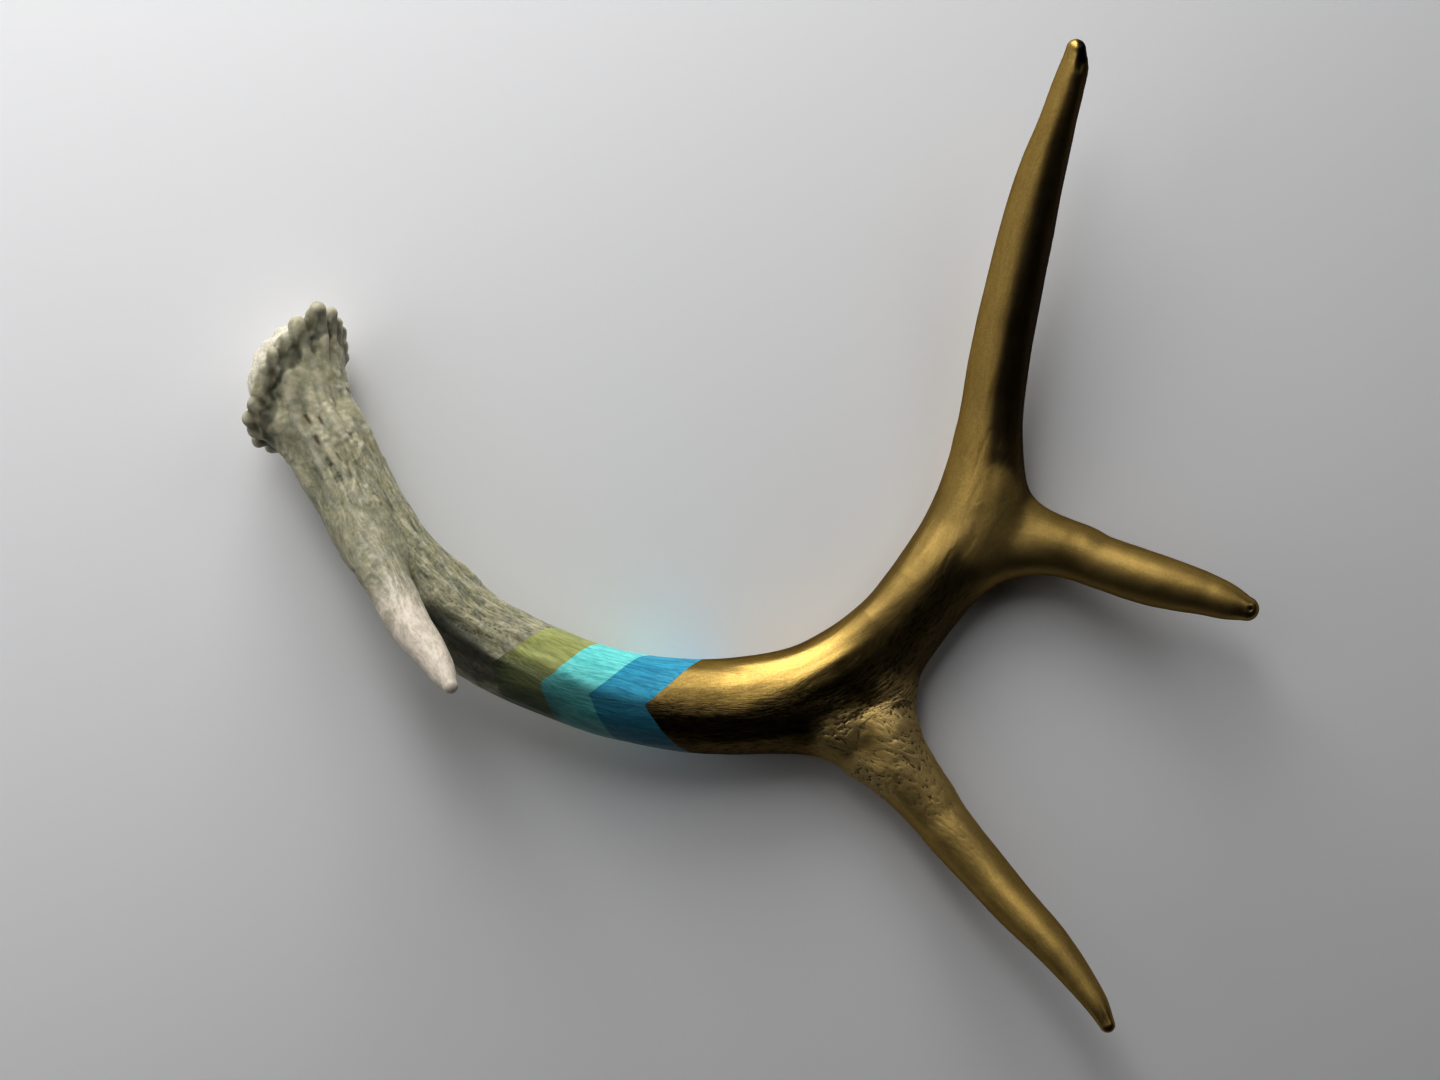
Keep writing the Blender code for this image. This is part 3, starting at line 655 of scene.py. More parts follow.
def near_burr(points):
    """Which points the burr can shape."""
    return np.linalg.norm(points - BURR_CENTRE, axis=1) < BURR_REACH


def melt(first, second, width):
    """The nearer of two distances, rounded where they come within the width of each other."""
    share = np.maximum(width - np.abs(first - second), 0.0) / width
    return np.minimum(first, second) - share * share * width / 4.0


class Antler:
    """All the limbs and lumps of the antler, melted into one form."""

    def __init__(self):
        self.beam = Branch(MAIN_BEAM)
        self.tines = [
            (Branch(SECOND_TINE), SECOND_BLEND),
            (Branch(SECOND_WEB), WEB_BLEND),
            (Branch(THIRD_TINE), THIRD_BLEND),
            (Branch(THIRD_WEB), WEB_BLEND),
            (Branch(THIRD_PLATEAU), WEB_BLEND),
            (Branch(BROW_TINE), BROW_BLEND),
        ]
        self.lumps = [collar(), seat(), *burr_knobs()]

    def distance(self, points):
        """About how far each point lies outside the antler's skin."""
        gap = self.beam.distance(points)
        for tine, width in self.tines:
            gap = melt(gap, tine.distance(points), width)
        near = near_burr(points)
        if near.any():
            gap[near] = melt(gap[near], self.burr_distance(points[near]), FLARE_BLEND)
        return gap

    def burr_distance(self, points):
        """About how far each point lies outside the burr with its knobs and its seat."""
        gap = self.lumps[0].distance(points)
        for lump in self.lumps[1:]:
            gap = melt(gap, lump.distance(points), BURR_BLEND)
        return gap


def read_vectors(rows, field):
    """One vector of each of a mesh's rows."""
    flat = np.empty(len(rows) * 3)
    rows.foreach_get(field, flat)
    return flat.reshape(-1, 3)


def mesh_points(mesh):
    """The mesh's vertices in millimetres."""
    return read_vectors(mesh.vertices, "co") / MM


def mesh_normals(mesh):
    """The mesh's vertex normals."""
    return read_vectors(mesh.vertex_normals, "vector")


def place_points(mesh, points):
    """Give the mesh its vertices, in millimetres."""
    mesh.vertices.foreach_set("co", (points * MM).ravel())
    mesh.update()


def new_object(name, data):
    """An object in the scene."""
    item = bpy.data.objects.new(name, data)
    bpy.context.scene.collection.objects.link(item)
    return item


def evaluated_mesh(item):
    """The object's mesh after its modifiers; the object is removed."""
    bpy.context.view_layer.update()
    evaluated = item.evaluated_get(bpy.context.evaluated_depsgraph_get())
    mesh = bpy.data.meshes.new_from_object(evaluated)
    bpy.data.objects.remove(item, do_unlink=True)
    return mesh


def rough_limb(points, radii):
    """A closed tube along the points, as a mesh."""
    curve = bpy.data.curves.new("limb", "CURVE")
    curve.dimensions = "3D"
    curve.bevel_depth = MM
    curve.bevel_resolution = LIMB_ROUNDNESS
    curve.use_fill_caps = True
    spline = curve.splines.new("POLY")
    spline.points.add(len(points) - 1)
    for place, centre, radius in zip(spline.points, points, radii):
        place.co = (*(centre * MM), 1.0)
        place.radius = radius
    return evaluated_mesh(new_object("limb", curve))


def shape_mesh(name, shape):
    """The shape as a mesh of its own; the shape is freed."""
    mesh = bpy.data.meshes.new(name)
    shape.to_mesh(mesh)
    shape.free()
    return mesh


def rough_ball(pebble):
    """A ball stretched to the ellipsoid, as a mesh."""
    shape = bmesh.new()
    stretch = Matrix(pebble.directions.T * pebble.radii).to_4x4()
    place = Matrix.Scale(MM, 4) @ (Matrix.Translation(Vector(pebble.centre)) @ stretch)
    bmesh.ops.create_icosphere(shape, subdivisions=BALL_ROUNDNESS, radius=1.0, matrix=place)
    return shape_mesh("ball", shape)


def rough_form(antler):
    """All limbs and lumps as overlapping closed shapes in one mesh."""
    meshes = []
    for branch in [antler.beam] + [tine for tine, _ in antler.tines]:
        meshes.append(rough_limb(branch.points, np.sqrt(branch.wide * branch.deep)))
    for lump in antler.lumps:
        if isinstance(lump, Knob):
            meshes.append(rough_limb(np.array([lump.root, lump.head]), lump.radii))
        else:
            meshes.append(rough_ball(lump))
    whole = bmesh.new()
    for mesh in meshes:
        whole.from_mesh(mesh)
        bpy.data.meshes.remove(mesh)
    return shape_mesh("rough_form", whole)


def regridded(mesh, grain):
    """The mesh closed and laid anew in even squares."""
    item = new_object("grid", mesh)
    modifier = item.modifiers.new("Remesh", "REMESH")
    modifier.mode = "VOXEL"
    modifier.voxel_size = grain * MM
    modifier.use_smooth_shade = True
    result = evaluated_mesh(item)
    bpy.data.meshes.remove(mesh)
    return result


def settle(mesh, antler, rounds):
    """Move the mesh's vertices onto the antler's form."""
    for _ in range(rounds):
        points = mesh_points(mesh)
        steps = np.clip(-antler.distance(points), -LONGEST_STEP, LONGEST_STEP)
        place_points(mesh, points + mesh_normals(mesh) * steps[:, None])


def noise_at(spots):
    """Smooth noise at each spot, about from -1 to 1."""
    return 2.0 * np.array([noise.noise(spot) for spot in spots.tolist()])


def fade(values, start, end):
    """How far each value has gone from start, 0, to end, 1, eased at both ends."""
    share = np.clip((values - start) / (end - start), 0.0, 1.0)
    return share * share * (3.0 - 2.0 * share)


def run(share, low, high):
    """A value that goes from low to high as the share goes from 0 to 1."""
    return low + (high - low) * share


def stretched(place, width, length, shift):
    """Spots for noise that runs along a limb, from its width and length in millimetres."""
    return (place + shift) / np.array([width, width, length])


def swayed(place):
    """A limb's places, swayed so that what follows them winds like grain."""
    moved = place.copy()
    for axis, shift in enumerate(SWAY_SHIFTS):
        moved[:, axis] += SWAY_REACH * noise_at(stretched(place, *SWAY_SIZE, shift))
    return moved


def grained(skin, size):
    """Noise that runs along the beam and along the tines, blended where they meet."""
    on_beam = noise_at(stretched(skin.grain, *size))
    on_tine = noise_at(stretched(skin.twig, *size))
    return on_beam * (1.0 - skin.tine) + on_tine * skin.tine


def groove_lines(values):
    """Narrow winding lines where noise passes zero: 1 along the middle and 0 beside a line."""
    return np.clip(1.0 - np.abs(values) / GROOVE_WIDTH, 0.0, 1.0) ** GROOVE_POWER


def pearls(points):
    """Small round bumps: 1 at the top of each and 0 between them."""
    spots = (points / PEARL_SIZE).tolist()
    gaps = np.array([noise.voronoi(spot)[0][0] for spot in spots])
    return np.clip(1.0 - gaps / PEARL_SPREAD, 0.0, 1.0) ** PEARL_POWER


class Skin:
    """Each vertex's place on the limbs, and the masks that its relief and colour follow."""

    def __init__(self, antler, points):
        self.points = points
        self.along, across, up, _ = antler.beam.locate(points)
        self.turn = np.arctan2(across, up)
        self.beam_place = np.stack([across, up, self.along], axis=1)
        self.grain = swayed(self.beam_place)
        self.to_beam = antler.beam.distance(points)
        self.follow_tines(antler)
        self.follow_burr(antler)
        lower_side = fade(self.turn, *FIBRE_SIDE) * fade(np.abs(self.turn), *FIBRE_BACK)
        web = fade(self.reach - self.starts[0], *WEB_REACH)
        fibrous = lower_side * (1.0 - self.tine) + web * self.tine * (self.order == 0)
        self.fibre = SMOOTH_SHARE + (1.0 - SMOOTH_SHARE) * fibrous

    def follow_tines(self, antler):
        """Each vertex's nearest tine, its place along it, and how far it belongs to it."""
        gaps = [tine.distance(self.points) for tine, _ in antler.tines]
        beam_share = (np.min(gaps, axis=0) - self.to_beam) / FORK_SOFTNESS + 0.5
        self.beam_share = np.clip(beam_share, 0.0, 1.0)
        self.tine_gaps = np.array([gaps[index] for index in LIMB_TINES])
        self.order = self.tine_gaps.argmin(axis=0)
        past_fork = self.to_beam - self.tine_gaps.min(axis=0)
        self.tine = fade(past_fork, -TINE_SOFTNESS, TINE_SOFTNESS)
        self.brow = self.tine * (self.order == BROW_ORDER)
        tine_place = np.zeros_like(self.points)
        self.starts = []
        limbs = [antler.tines[index][0] for index in LIMB_TINES]
        for order, tine in enumerate(limbs):
            chosen = self.order == order
            start = antler.beam.locate(tine.points[:1])[0][0]
            self.starts.append(start)
            place, side, top, _ = tine.locate(self.points[chosen])
            tine_place[chosen] = np.stack([side, top, place + start], axis=1)
        self.twig = swayed(tine_place)
        self.reach = tine_place[:, 2]
        ends = [limb.points[-1] for limb in [antler.beam, *limbs]]
        from_ends = [np.linalg.norm(self.points - end, axis=1) for end in ends]
        self.tip = fade(np.min(from_ends, axis=0), *TIP_LENGTH)

    def follow_burr(self, antler):
        """How far each vertex belongs to the burr, its seat, its knobs and its crevice."""
        facing = burr_directions()[2]
        offsets = self.points - BURR_CENTRE
        ahead = offsets @ facing
        near = near_burr(self.points)
        on_burr = np.full(len(self.points), FAR)
        on_burr[near] = antler.burr_distance(self.points[near])
        self.burr = fade(self.to_beam - on_burr, *BURR_ONSET)
        self.seat = fade(ahead, *SEAT_ONSET) * self.burr
        self.knob = fade(ahead, *KNOB_ONSET) * self.burr
        from_axis = np.linalg.norm(offsets - ahead[:, None] * facing, axis=1)
        sway = CREVICE_SWAY * noise_at(self.points / CREVICE_SWAY_SIZE)
        nearness = np.exp(-((ahead - CREVICE_PLACE + sway) / CREVICE_WIDTH) ** 2)
        self.crevice = nearness * fade(from_axis, *CREVICE_RADII) * near

    def past_fork_of(self, order):
        """Millimetres past a tine's fork, towards the tine."""
        return self.to_beam - self.tine_gaps[order] - FORK_CUT


def leaning(antler, skin):
    """How far each vertex moves where the beam's crest leans to one side."""
    across, up, along = skin.beam_place.T
    share = fade(up, *LEAN_TOP) * (1.0 - skin.tine)
    lean = np.interp(along, *zip(*LEAN))
    rise = -lean * np.clip(across, -LEAN_REACH, LEAN_REACH) * share
    return antler.beam.read(antler.beam.tops, along) * rise[:, None]


def coarse_ridges(skin):
    """The ridges that the solids have too."""
    calm = np.clip((skin.along - BARE_LENGTH) / CALM_LENGTH, 0.0, 1.0)
    strength = BARE_RIDGES * (1 - calm) + PAINTED_RIDGES * calm
    strength = TINE_RIDGES * (1 - skin.beam_share) + strength * skin.beam_share
    return strength * noise_at(stretched(skin.beam_place, *RIDGE_SIZE))


def fine_relief(skin):
    """Wrinkles, grooves, gnarls, pearls and the crevice of the burr, in millimetres."""
    groove = groove_lines(grained(skin, GROOVE_SIZE))
    scratch = groove_lines(grained(skin, SCRATCH_SIZE))
    gnarl = 1.0 - 2.0 * np.abs(grained(skin, GNARL_SIZE))
    patches = fade(noise_at(skin.points / PATCH_SIZE + PATCH_SHIFT), *PATCH_EDGE)
    height = WRINKLE_HEIGHT * grained(skin, WRINKLE_SIZE)
    height -= GROOVE_DEPTH * groove * run(patches, *GROOVE_PATCHES)
    height -= SCRATCH_DEPTH * scratch * run(patches, *SCRATCH_PATCHES)
    gnarled = fade(skin.along, *GNARL_FADE)
    height += GNARL_HEIGHT * gnarl * gnarled * run(patches, *GNARL_PATCHES)
    share = 1.0 - (1.0 - PAINTED_SHARE) * fade(skin.along, *PAINT_FADE)
    on_tine = np.where(skin.order == BROW_ORDER, BROW_RELIEF_SHARE, TINE_RELIEF_SHARE)
    share = share * (1 - skin.tine) + on_tine * skin.tine
    bare = fade(skin.along, *PAINT_FADE[::-1])
    height *= share * (1.0 - BURR_CALM * skin.burr) * (bare + (1.0 - bare) * skin.fibre)
    height *= 1.0 - FOOT_CALM * fade(skin.along, *FOOT_FADE)
    size, *edge = PEARL_PATCH
    pearled = fade(skin.along, *PEARL_FADE) * (1 - skin.tine)
    pearled *= fade(noise_at(skin.points / size), *edge) * (1 - PEARL_CALM * skin.burr)
    carrying = pearled > PEARL_LEAST
    beads = np.zeros(len(height))
    beads[carrying] = pearls(skin.points[carrying])
    height += PEARL_HEIGHT * beads * pearled
    size, depth = SEAT_STIPPLE
    height += depth * noise_at(skin.points / size) * skin.seat
    height -= CREVICE_DEPTH * skin.crevice
    return height


def marks(points, normals, routes):
    """How near each vertex lies to marks drawn from above, 0 to 1, and their sum in millimetres.

    A mark follows its route, keeps its full depth at first and then tapers to nothing.
    """
    nearness = np.zeros(len(points))
    depth = np.zeros(len(points))
    up = fade(normals[:, 2], *MARK_UP)
    for width, cut, route in routes:
        route = np.array(route)
        low = route.min(axis=0) - MARK_MARGIN * width
        high = route.max(axis=0) + MARK_MARGIN * width
        near = ((points[:, :2] > low) & (points[:, :2] < high)).all(axis=1)
        spots = points[near, :2]
        gap = np.full(len(spots), FAR)
        progress = np.zeros(len(spots))
        for number, (start, end) in enumerate(zip(route[:-1], route[1:])):
            span = end - start
            share = np.clip((spots - start) @ span / (span @ span), 0, 1)
            away = np.linalg.norm(spots - start - share[:, None] * span, axis=1)
            progress[away < gap] = (number + share[away < gap]) / (len(route) - 1)
            gap = np.minimum(gap, away)
        mark = np.exp(-(gap / width) ** 2) * up[near] * fade(progress, 1.0, MARK_TAPER)
        nearness[near] = np.maximum(nearness[near], mark)
        depth[near] += cut * mark
    return nearness, depth


def smoothed(points, pairs, rounds):
    """The points after rounds of moving each to the middle of its neighbours."""
    count = np.bincount(pairs.ravel(), minlength=len(points))
    for _ in range(rounds):
        total = np.zeros_like(points)
        for axis in range(3):
            total[:, axis] = np.bincount(pairs[:, 0], points[pairs[:, 1], axis], len(points))
            total[:, axis] += np.bincount(pairs[:, 1], points[pairs[:, 0], axis], len(points))
        points = total / count[:, None]
    return points


def hollows(mesh, rounds):
    """How deep each vertex lies in a hollow, in millimetres; less than zero on a crest."""
    pairs = np.empty(len(mesh.edges) * 2, dtype=int)
    mesh.edges.foreach_get("vertices", pairs)
    points = mesh_points(mesh)
    lifted = smoothed(points, pairs.reshape(-1, 2), rounds) - points
    return (lifted * mesh_normals(mesh)).sum(axis=1)


def edge_field(skin, edge):
    """Millimetres past a chevron's edge, counted along the beam."""
    start, point, before, after = edge
    turn = (skin.turn - point + np.pi) % (2.0 * np.pi) - np.pi
    slope = np.where(turn < 0.0, before, after)
    behind = fade(np.abs(turn), *EDGE_BACK)
    slope = slope * (1.0 - behind) + 0.5 * (before + after) * behind
    line = start + slope * EDGE_RADIUS * np.abs(turn)
    return skin.along - line + EDGE_WOBBLE * noise_at(skin.points / EDGE_WOBBLE_SIZE)


def snapped(rows, faces, field):
    """Move vertices that lie very near the line onto it. Their field becomes zero."""
    rows = rows.copy()
    field = field.copy()
    pairs = np.vstack([faces[:, [0, 1]], faces[:, [1, 2]], faces[:, [2, 0]]])
    crossed = pairs[field[pairs[:, 0]] * field[pairs[:, 1]] < 0.0]
    for first, second in np.vstack([crossed, crossed[:, ::-1]]).tolist():
        if field[first] == 0.0 or field[second] == 0.0:
            continue
        share = field[first] / (field[first] - field[second])
        if share < SNAP_SHARE:
            rows[first] += share * (rows[second] - rows[first])
            field[first] = 0.0
    return rows, field


def cut_at(rows, faces, column):
    """Cut the triangles where one column of the rows passes zero."""
    rows, field = snapped(rows, faces, rows[:, column])
    sides = np.sign(field[faces])
    mixed = (sides.min(axis=1) < 0) & (sides.max(axis=1) > 0)
    made = {}
    added_rows = []
    added_faces = []

    def crossing(first, second):
        key = (min(first, second), max(first, second))
        if key not in made:
            share = field[key[0]] / (field[key[0]] - field[key[1]])
            made[key] = len(rows) + len(added_rows)
            added_rows.append(rows[key[0]] + share * (rows[key[1]] - rows[key[0]]))
        return made[key]

    for corners in faces[mixed].tolist():
        signs = np.sign(field[corners]).tolist()
        on_line = 0.0 in signs
        turn = signs.index(0.0 if on_line else -sum(signs))
        first, second, third = corners[turn:] + corners[:turn]
        if on_line:
            cut = crossing(second, third)
            added_faces += [[first, second, cut], [first, cut, third]]
        else:
            near = crossing(first, second)
            far = crossing(first, third)
            added_faces += [[first, near, far], [near, second, third], [near, third, far]]
    if added_faces:
        rows = np.vstack([rows, np.array(added_rows)])
        faces = np.vstack([faces[~mixed], np.array(added_faces)])
    return rows, faces


class Values:
    """Values kept for each vertex, side by side in one row, and found again by name."""

    def __init__(self, columns):
        self.slices = {}
        parts = []
        start = 0
        for name, column in columns.items():
            part = column.reshape(len(column), -1)
            self.slices[name] = slice(start, start + part.shape[1])
            start += part.shape[1]
            parts.append(part)
        self.rows = np.hstack(parts)

    def read(self, rows, name):
        """One kept value of the given rows."""
        return rows[:, self.slices[name]]


def add_attribute(mesh, name, values):
    """A value for each vertex, for the materials to read."""
    kind, field = ("FLOAT", "value") if values.shape[1] == 1 else ("FLOAT_VECTOR", "vector")
    mesh.attributes.new(name, kind, "POINT").data.foreach_set(field, values.ravel())


def piece_object(name, values, rows, faces, material):
    """One piece of the skin, shaded with the whole skin's normals."""
    used, renumbered = np.unique(faces, return_inverse=True)
    rows = rows[used]
    faces = renumbered.reshape(-1, 3)
    mesh = bpy.data.meshes.new(name)
    mesh.from_pydata((values.read(rows, "place") * MM).tolist(), [], faces.tolist())
    for attribute in PAINTED_VALUES:
        add_attribute(mesh, attribute, values.read(rows, attribute))
    mesh.shade_smooth()
    mesh.normals_split_custom_set_from_vertices(unit(values.read(rows, "normal")).tolist())
    mesh.materials.append(material)
    return new_object(name, mesh)


def raise_skin(mesh, antler):
    """Lean, swell and roughen the settled skin, in place; its places and masks are returned."""
    points = mesh_points(mesh)
    skin = Skin(antler, points)
    points = points + leaning(antler, skin)
    place_points(mesh, points)
    normals = mesh_normals(mesh)
    skin.web, swell_height = marks(points, normals, SWELLS)
    skin.plateau = marks(points, normals, PLATEAU)[0]
    points = points + normals * swell_height[:, None]
    place_points(mesh, points)
    normals = mesh_normals(mesh)
    crease_depth = marks(points, normals, CREASES)[1]
    skin.nick, nick_depth = marks(points, normals, NICKS)
    # Painted shade under the brow tine and in the pit at the beam's tip, kept off the brow tine
    # itself
    skin.dirt = marks(points, normals, SHADE_MARKS)[0] * (1.0 - skin.brow)
    relief = coarse_ridges(skin) + fine_relief(skin) - crease_depth - nick_depth
    relief -= WEB_GROOVE_DEPTH * skin.web * groove_lines(grained(skin, WEB_GROOVE_SIZE))
    relief += WEB_WRINKLE_HEIGHT * skin.web * grained(skin, WEB_WRINKLE_SIZE)
    points = points + normals * relief[:, None]
    points[:, :2] += DRAWING_SHIFT
    points[:, 2] = np.maximum(points[:, 2], 0.0)
    place_points(mesh, points)
    return skin


def edge_names():
    """The names under which the chevrons' edges are kept."""
    return [f"edge_{number}" for number in range(len(EDGES))]


def built_skin(antler):
    """The whole skin with its relief: its triangles, and the values kept for each vertex."""
    mesh = regridded(rough_form(antler), COARSE_GRAIN)
    settle(mesh, antler, COARSE_ROUNDS)
    mesh = regridded(mesh, FINE_GRAIN)
    settle(mesh, antler, FINE_ROUNDS)
    skin = raise_skin(mesh, antler)
    shape = bmesh.new()
    shape.from_mesh(mesh)
    bmesh.ops.triangulate(shape, faces=shape.faces)
    shape.to_mesh(mesh)
    shape.free()
    skin.place = mesh_points(mesh)
    skin.hollow, skin.basin = (hollows(mesh, rounds) for rounds in HOLLOW_ROUNDS)
    columns = {name: getattr(skin, name) for name in PAINTED_VALUES}
    columns["normal"] = mesh_normals(mesh)
    for name, edge in zip(edge_names(), EDGES):
        columns[name] = edge_field(skin, edge)
    for order, (name, _) in enumerate(TINE_PIECES):
        columns[name] = skin.past_fork_of(order)
    values = Values(columns)
    corners = np.empty(len(mesh.polygons) * 3, dtype=int)
    mesh.polygons.foreach_get("vertices", corners)
    bpy.data.meshes.remove(mesh)
    return values, corners.reshape(-1, 3)


def divided(values, faces):
    """The skin cut at the chevron edges and at the forks, and the name of each triangle's piece."""
    rows = values.rows
    names = edge_names() + [name for name, _ in TINE_PIECES]
    for name in names:
        rows, faces = cut_at(rows, faces, values.slices[name].start)
    past = {name: rows[faces, values.slices[name].start].mean(axis=1) > 0.0 for name in names}
    band = sum(past[name].astype(int) for name in edge_names())
    piece = np.array(BEAM_PIECES, dtype=object)[band]
    for name, home in TINE_PIECES:
        piece[(band == home) & past[name]] = name
    return rows, faces, piece


class Finish:
    """A material in the making, with short calls for the nodes that the recipes use."""

    def __init__(self, name):
        self.material = bpy.data.materials.new(name)
        self.material.use_nodes = True
        self.tree = self.material.node_tree
        self.shader = self.tree.nodes["Principled BSDF"]

    def add(self, kind, inputs=(), **settings):
        """A new node with its inputs fed, in order or by name."""
        node = self.tree.nodes.new(kind)
        for key, value in settings.items():
            setattr(node, key, value)
        pairs = inputs.items() if isinstance(inputs, dict) else enumerate(inputs)
        for key, value in pairs:
            self.feed(node.inputs[key], value)
        return node

    def feed(self, socket, value):
        """Link another node's socket to this one, or set a plain value or colour."""
        if isinstance(value, bpy.types.NodeSocket):
            self.tree.links.new(value, socket)
        else:
            socket.default_value = (*value, 1.0) if socket.type == "RGBA" else value

    def value(self, name):
        """A value kept for each vertex of the mesh."""
        return self.add("ShaderNodeAttribute", attribute_name=name).outputs["Fac"]

    def place(self, name, width, length):
        """A place kept for each vertex, scaled to noise of this width and length."""
        place = self.add("ShaderNodeAttribute", attribute_name=name).outputs["Vector"]
        scale = (1.0 / width, 1.0 / width, 1.0 / length)
        return self.add("ShaderNodeVectorMath", (place, scale), operation="MULTIPLY").outputs[0]

    def noise(self, pattern, place="place"):
        """Noise from 0 to 1 along a kept place, from its pattern."""
        width, length, detail, rough = pattern
        inputs = {"Vector": self.place(place, width, length), "Scale": 1.0, "Detail": detail,
                  "Roughness": rough}
        return self.add("ShaderNodeTexNoise", inputs).outputs["Fac"]

    def grain(self, pattern):
        """Noise that runs along the beam and along the tines, blended where they meet."""
        along_beam = self.noise(pattern, "grain")
        along_tine = self.noise(pattern, "twig")
        inputs = {0: self.value("tine"), 2: along_beam, 3: along_tine}
        return self.add("ShaderNodeMix", inputs, data_type="FLOAT").outputs[0]

    def flakes(self, size):
        """A random value for each cell of this size."""
        inputs = {"Vector": self.place("place", size, size), "Scale": 1.0}
        return self.add("ShaderNodeTexVoronoi", inputs).outputs["Color"]

    def step(self, value, start, end, low=0.0, high=1.0):
        """A value run from low to high as another goes from start to end, eased at both ends."""
        inputs = (value, start, end, low, high)
        return self.add("ShaderNodeMapRange", inputs, interpolation_type="SMOOTHSTEP").outputs[0]

    def mask(self, name, *run):
        """A kept value, stepped where a run is given."""
        return self.step(self.value(name), *run) if run else self.value(name)

    def chain(self, operation, values):
        """A row of Math nodes over the values."""
        total = values[0]
        for value in values[1:]:
            total = self.add("ShaderNodeMath", (total, value), operation=operation).outputs[0]
        return total

    def sum(self, *values):
        """All values added."""
        return self.chain("ADD", values)

    def product(self, *values):
        """All values multiplied."""
        return self.chain("MULTIPLY", values)

    def weighted(self, values, shares):
        """The sum of the values, each times its own share."""
        return self.sum(*(self.product(*pair) for pair in zip(values, shares)))

    def blend(self, share, first, second):
        """Two colours mixed."""
        inputs = {0: share, 6: first, 7: second}
        return self.add("ShaderNodeMix", inputs, data_type="RGBA").outputs[2]

    def washed(self, colour, *washes):
        """The colour with washes laid over it, one after another."""
        for tone, *masks in washes:
            share = self.product(*(self.mask(*mask) for mask in masks))
            colour = self.blend(share, colour, tone)
        return colour

    def ramp(self, value, stops):
        """A colour run through stops, each a place from 0 to 1 and its colour."""
        node = self.add("ShaderNodeValToRGB", (value,))
        elements = node.color_ramp.elements
        for place, _ in stops[1:-1]:
            elements.new(place)
        for element, (place, colour) in zip(elements, stops):
            element.position = place
            element.color = (*colour, 1.0)
        return node.outputs["Color"]

    def dress(self, colour, roughness, height, reach, **others):
        """Connect the shader, with bump from the height and its real reach in millimetres."""
        bump = self.add("ShaderNodeBump", {"Strength": 1.0, "Distance": reach * MM,
                                           "Height": height})
        links = {"Base Color": colour, "Roughness": roughness, "Normal": bump.outputs["Normal"]}
        for name, value in (links | others).items():
            self.feed(self.shader.inputs[name.replace("_", " ")], value)
        return self.material


def bare_antler_finish():
    """Weathered antler: cream crests, grey-green hollows with painted shade, a pale seat and a pink
    brow tip.
    """
    skin = Finish("bare_antler")
    warmth = skin.noise(BARE_WARMTH)
    hollow = skin.value("hollow")
    strength, level = BURR_CALM_GRAIN
    calm = skin.sum(skin.product(skin.noise(BURR_MOTTLE), strength), level)
    calm = skin.product(calm, skin.mask("along", *FLARE_FADE, 1.0, 0.0))
    far = skin.mask("along", *FLARE_FADE)
    speckle, mottle, streaks = (
        skin.sum(skin.product(skin.grain(pattern), far), calm)
        for pattern in (BARE_SPECKLE, BARE_MOTTLE, BARE_STREAKS))
    mixed = skin.weighted((speckle, mottle, streaks, hollow), BARE_SHARES)
    cool = skin.ramp(mixed, COOL_COLOURS)
    colour = skin.blend(skin.step(warmth, *COOL_RUN), skin.ramp(mixed, BARE_COLOURS), cool)
    # Painted shade in hollows, basins, the crevice and between knobs, and the brown nicks
    colour = skin.washed(colour, *BARE_WASHES)
    pale_seat = skin.blend(skin.step(skin.noise(SEAT_MOTTLE), *SEAT_RUN), *SEAT_COLOURS)
    colour = skin.washed(colour, (pale_seat, ("seat",)))
    ragged = skin.product(skin.sum(warmth, mottle, -1.0), BROW_RAGGED)
    ragged = skin.sum(skin.value("reach"), ragged)
    tip = skin.product(skin.step(ragged, *BROW_PALE), skin.value("brow"))
    colour = skin.blend(skin.product(skin.value("brow"), BROW_ROOT_SHARE), colour, BROW_ROOT)
    rosy = skin.blend(skin.step(mixed, *ROSY_RUN), *ROSY_COLOURS)
    # Then the painted shade under the brow tine
    colour = skin.washed(skin.blend(tip, colour, rosy), BARE_SHADE_MARK)
    height = skin.weighted((streaks, speckle), BARE_BUMP_SHARES)
    return skin.dress(colour, skin.step(streaks, *BARE_ROUGHNESS), height, BARE_BUMP)


def paint_finish(name, dark, light, patch, patch_share):
    """Brushed paint on the antler: streaks along the beam, deeper on its fibrous side, with painted
    shade.
    """
    paint = Finish(name)
    brush = paint.grain(BRUSH)
    fleck = paint.grain(FLECK)
    cloud = paint.noise(PAINT_CLOUD)
    mixed = paint.weighted((brush, fleck), BRUSH_SHARES)
    colour = paint.blend(paint.step(mixed, *BRUSH_RUN), dark, light)
    colour = paint.blend(paint.step(cloud, *PATCH_RUN, 0.0, patch_share), colour, patch)
    worn = paint.product(paint.step(fleck, *WORN_FLECK), paint.mask("fibre", *WORN_FIBRE))
    colour = paint.blend(paint.product(worn, WORN_SHARE), colour, patch)
    # Painted shade on the lower side, under the brow tine and in the hollows
    colour = paint.washed(colour, *PAINT_WASHES, (dark, PAINT_HOLLOW))
    height = paint.product(mixed, paint.value("fibre"))
    return paint.dress(colour, paint.step(brush, *PAINT_ROUGHNESS), height, PAINT_BUMP)


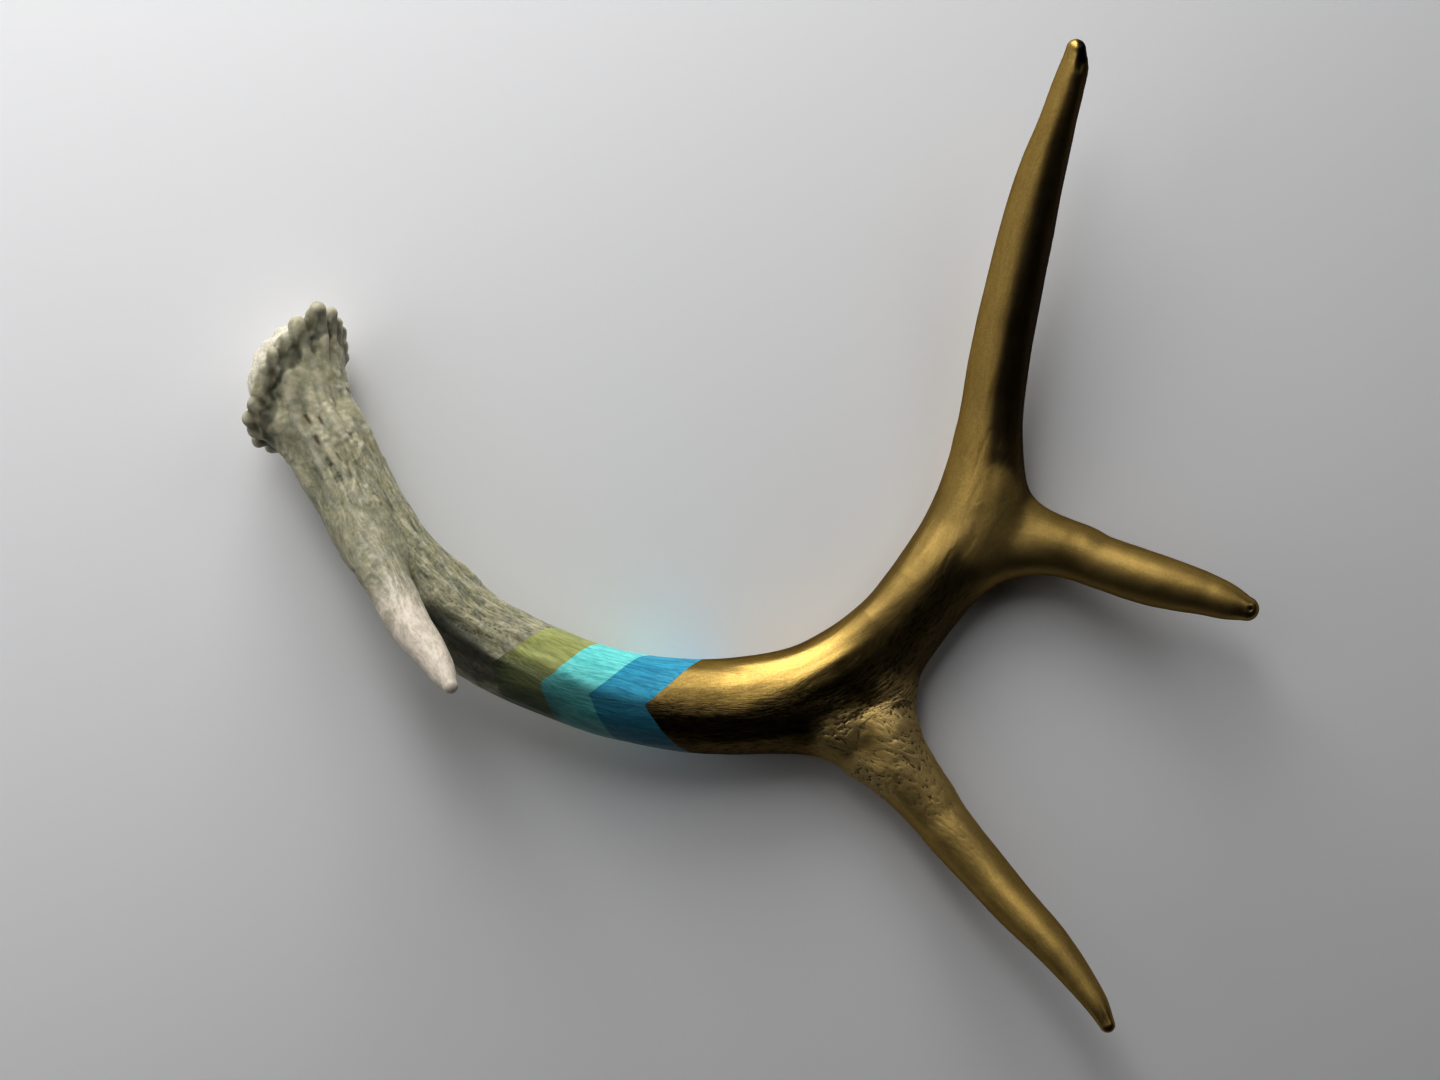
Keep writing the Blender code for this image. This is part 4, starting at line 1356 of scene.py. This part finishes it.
def gold_finish():
    """Gold paint with fine flakes over the fibres of the antler, with painted shade and highlight.
    """
    gold = Finish("gold_paint")
    streaks = gold.grain(GOLD_STREAKS)
    long_streaks = gold.grain(GOLD_LONG_STREAKS)
    cloud = gold.noise(GOLD_CLOUD)
    speckle = gold.noise(GOLD_SPECKLE)
    web = gold.value("web")
    side = gold.product(gold.value("fibre"), gold.mask("plateau", *PLATEAU_FIBRE))
    fibre = gold.product(side, gold.mask("along", *FIBRE_END))
    shade = gold.weighted((streaks, long_streaks, cloud, speckle), GOLD_SHARES)
    colour = gold.ramp(shade, GOLD_COLOURS)
    flakes = gold.product(gold.flakes(FLAKE_SIZE), FLAKE_SHARE)
    colour = gold.blend(flakes, colour, GOLD_FLAKE_AND_HIGHLIGHT)
    # Painted highlight: the second fork's web made paler
    colour = gold.blend(gold.product(web, WEB_PAINTED_HIGHLIGHT), colour, GOLD_FLAKE_AND_HIGHLIGHT)
    # Painted shade: the fibrous lower side darker except on the web, and the upper beam's lower
    # side darker
    lower = gold.product(gold.step(side, *SIDE_DARK), gold.step(web, *WEB_LIGHT))
    colour = gold.blend(lower, colour, GOLD_SHADE)
    upper = gold.product(gold.step(side, *UPPER_SIDE), gold.mask("along", *UPPER_DARK),
                         gold.mask("along", *UPPER_LIGHT))
    colour = gold.washed(gold.blend(upper, colour, GOLD_SHADE), *GOLD_WASHES)
    # Painted shade in the gaps between fibres, then in the pit at the beam's tip
    gaps = gold.product(gold.step(streaks, *GAP_RUN), gold.step(fibre, *GAP_SHARE))
    colour = gold.washed(gold.blend(gaps, colour, GOLD_SHADE), GOLD_SHADE_MARK)
    metallic = gold.step(gold.sum(web, gold.value("plateau")), *METALLIC_RUN)
    fibre = gold.sum(fibre, gold.product(web, WEB_FIBRE))
    fibrous = gold.product(gold.weighted((streaks, speckle), FIBRE_BUMP_SHARES), fibre)
    height = gold.weighted((fibrous, speckle, long_streaks), SMOOTH_BUMP_SHARES)
    matte = gold.sum(gold.mask("along", *MATTE_GOLD), gold.value("tine"))
    rough = gold.sum(gold.step(cloud, *GOLD_ROUGHNESS), gold.product(web, WEB_ROUGHNESS),
                     gold.step(matte, *MATTE_ROUGHNESS),
                     gold.product(gold.value("tip"), -TIP_GLOSS))
    return gold.dress(colour, rough, height, GOLD_BUMP, Metallic=metallic,
                      Specular_Tint=GOLD_EDGE, Coat_Weight=GOLD_COAT,
                      Coat_Roughness=GOLD_COAT_ROUGHNESS)


def finishes():
    """The five finishes by their slots."""
    made = {name: paint_finish(name, *paint) for name, paint in BAND_PAINTS.items()}
    return {"bare_antler": bare_antler_finish(), **made, "gold_paint": gold_finish()}


def add_floor():
    """A wide level floor just under the antler's own rest."""
    floor = Finish("pale_floor")
    floor.feed(floor.shader.inputs["Base Color"], FLOOR_COLOUR)
    floor.feed(floor.shader.inputs["Roughness"], FLOOR_ROUGHNESS)
    mesh = bpy.data.meshes.new("floor")
    low, high, drop = -FLOOR_SIZE * MM, FLOOR_SIZE * MM, -FLOOR_DROP * MM
    corners = [(low, low, drop), (high, low, drop), (high, high, drop), (low, high, drop)]
    mesh.from_pydata(corners, [], [(0, 1, 2, 3)])
    mesh.materials.append(floor.material)
    item = new_object("floor", mesh)


def add_camera():
    """The camera looks straight down on the antler."""
    camera = bpy.data.cameras.new("camera")
    camera.lens = CAMERA_LENS
    camera.sensor_width = SENSOR
    item = new_object("camera", camera)
    item.location = Vector((*DRAWING_SHIFT, CAMERA_HEIGHT)) * MM
    bpy.context.scene.camera = item


def add_light(name, azimuth, height, distance, size, watts):
    """A soft light that looks at the antler's middle."""
    light = bpy.data.lights.new(name, "AREA")
    light.shape = "RECTANGLE"
    light.size = size[0] * MM
    light.size_y = size[1] * MM
    light.energy = watts
    item = new_object(name, light)
    azimuth = radians(azimuth)
    height = radians(height)
    away = Vector((cos(azimuth) * cos(height), sin(azimuth) * cos(height), sin(height)))
    item.location = away * distance * MM
    item.rotation_euler = away.to_track_quat("Z", "Y").to_euler()


def add_lights():
    """The soft studio lights, and a nearly dark surrounding."""
    for light in LIGHTS:
        add_light(*light)
    world = bpy.data.worlds.new("surrounding")
    world.use_nodes = True
    background = world.node_tree.nodes["Background"]
    background.inputs["Color"].default_value = (*WORLD_TINT, 1.0)
    background.inputs["Strength"].default_value = WORLD_STRENGTH
    scene = bpy.context.scene
    scene.world = world
    scene.view_settings.view_transform = "Standard"
    scene.view_settings.gamma = PICTURE_GAMMA


def main():
    """Build the skin, its pieces, the floor, the lights and the camera."""
    add_camera()
    add_floor()
    add_lights()
    values, faces = built_skin(Antler())
    rows, faces, piece = divided(values, faces)
    materials = finishes()
    for name, (slot, nodes) in PIECES.items():
        item = piece_object(name, values, rows, faces[piece == name], materials[slot])
        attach(item, "root")
        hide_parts(*nodes)


main()
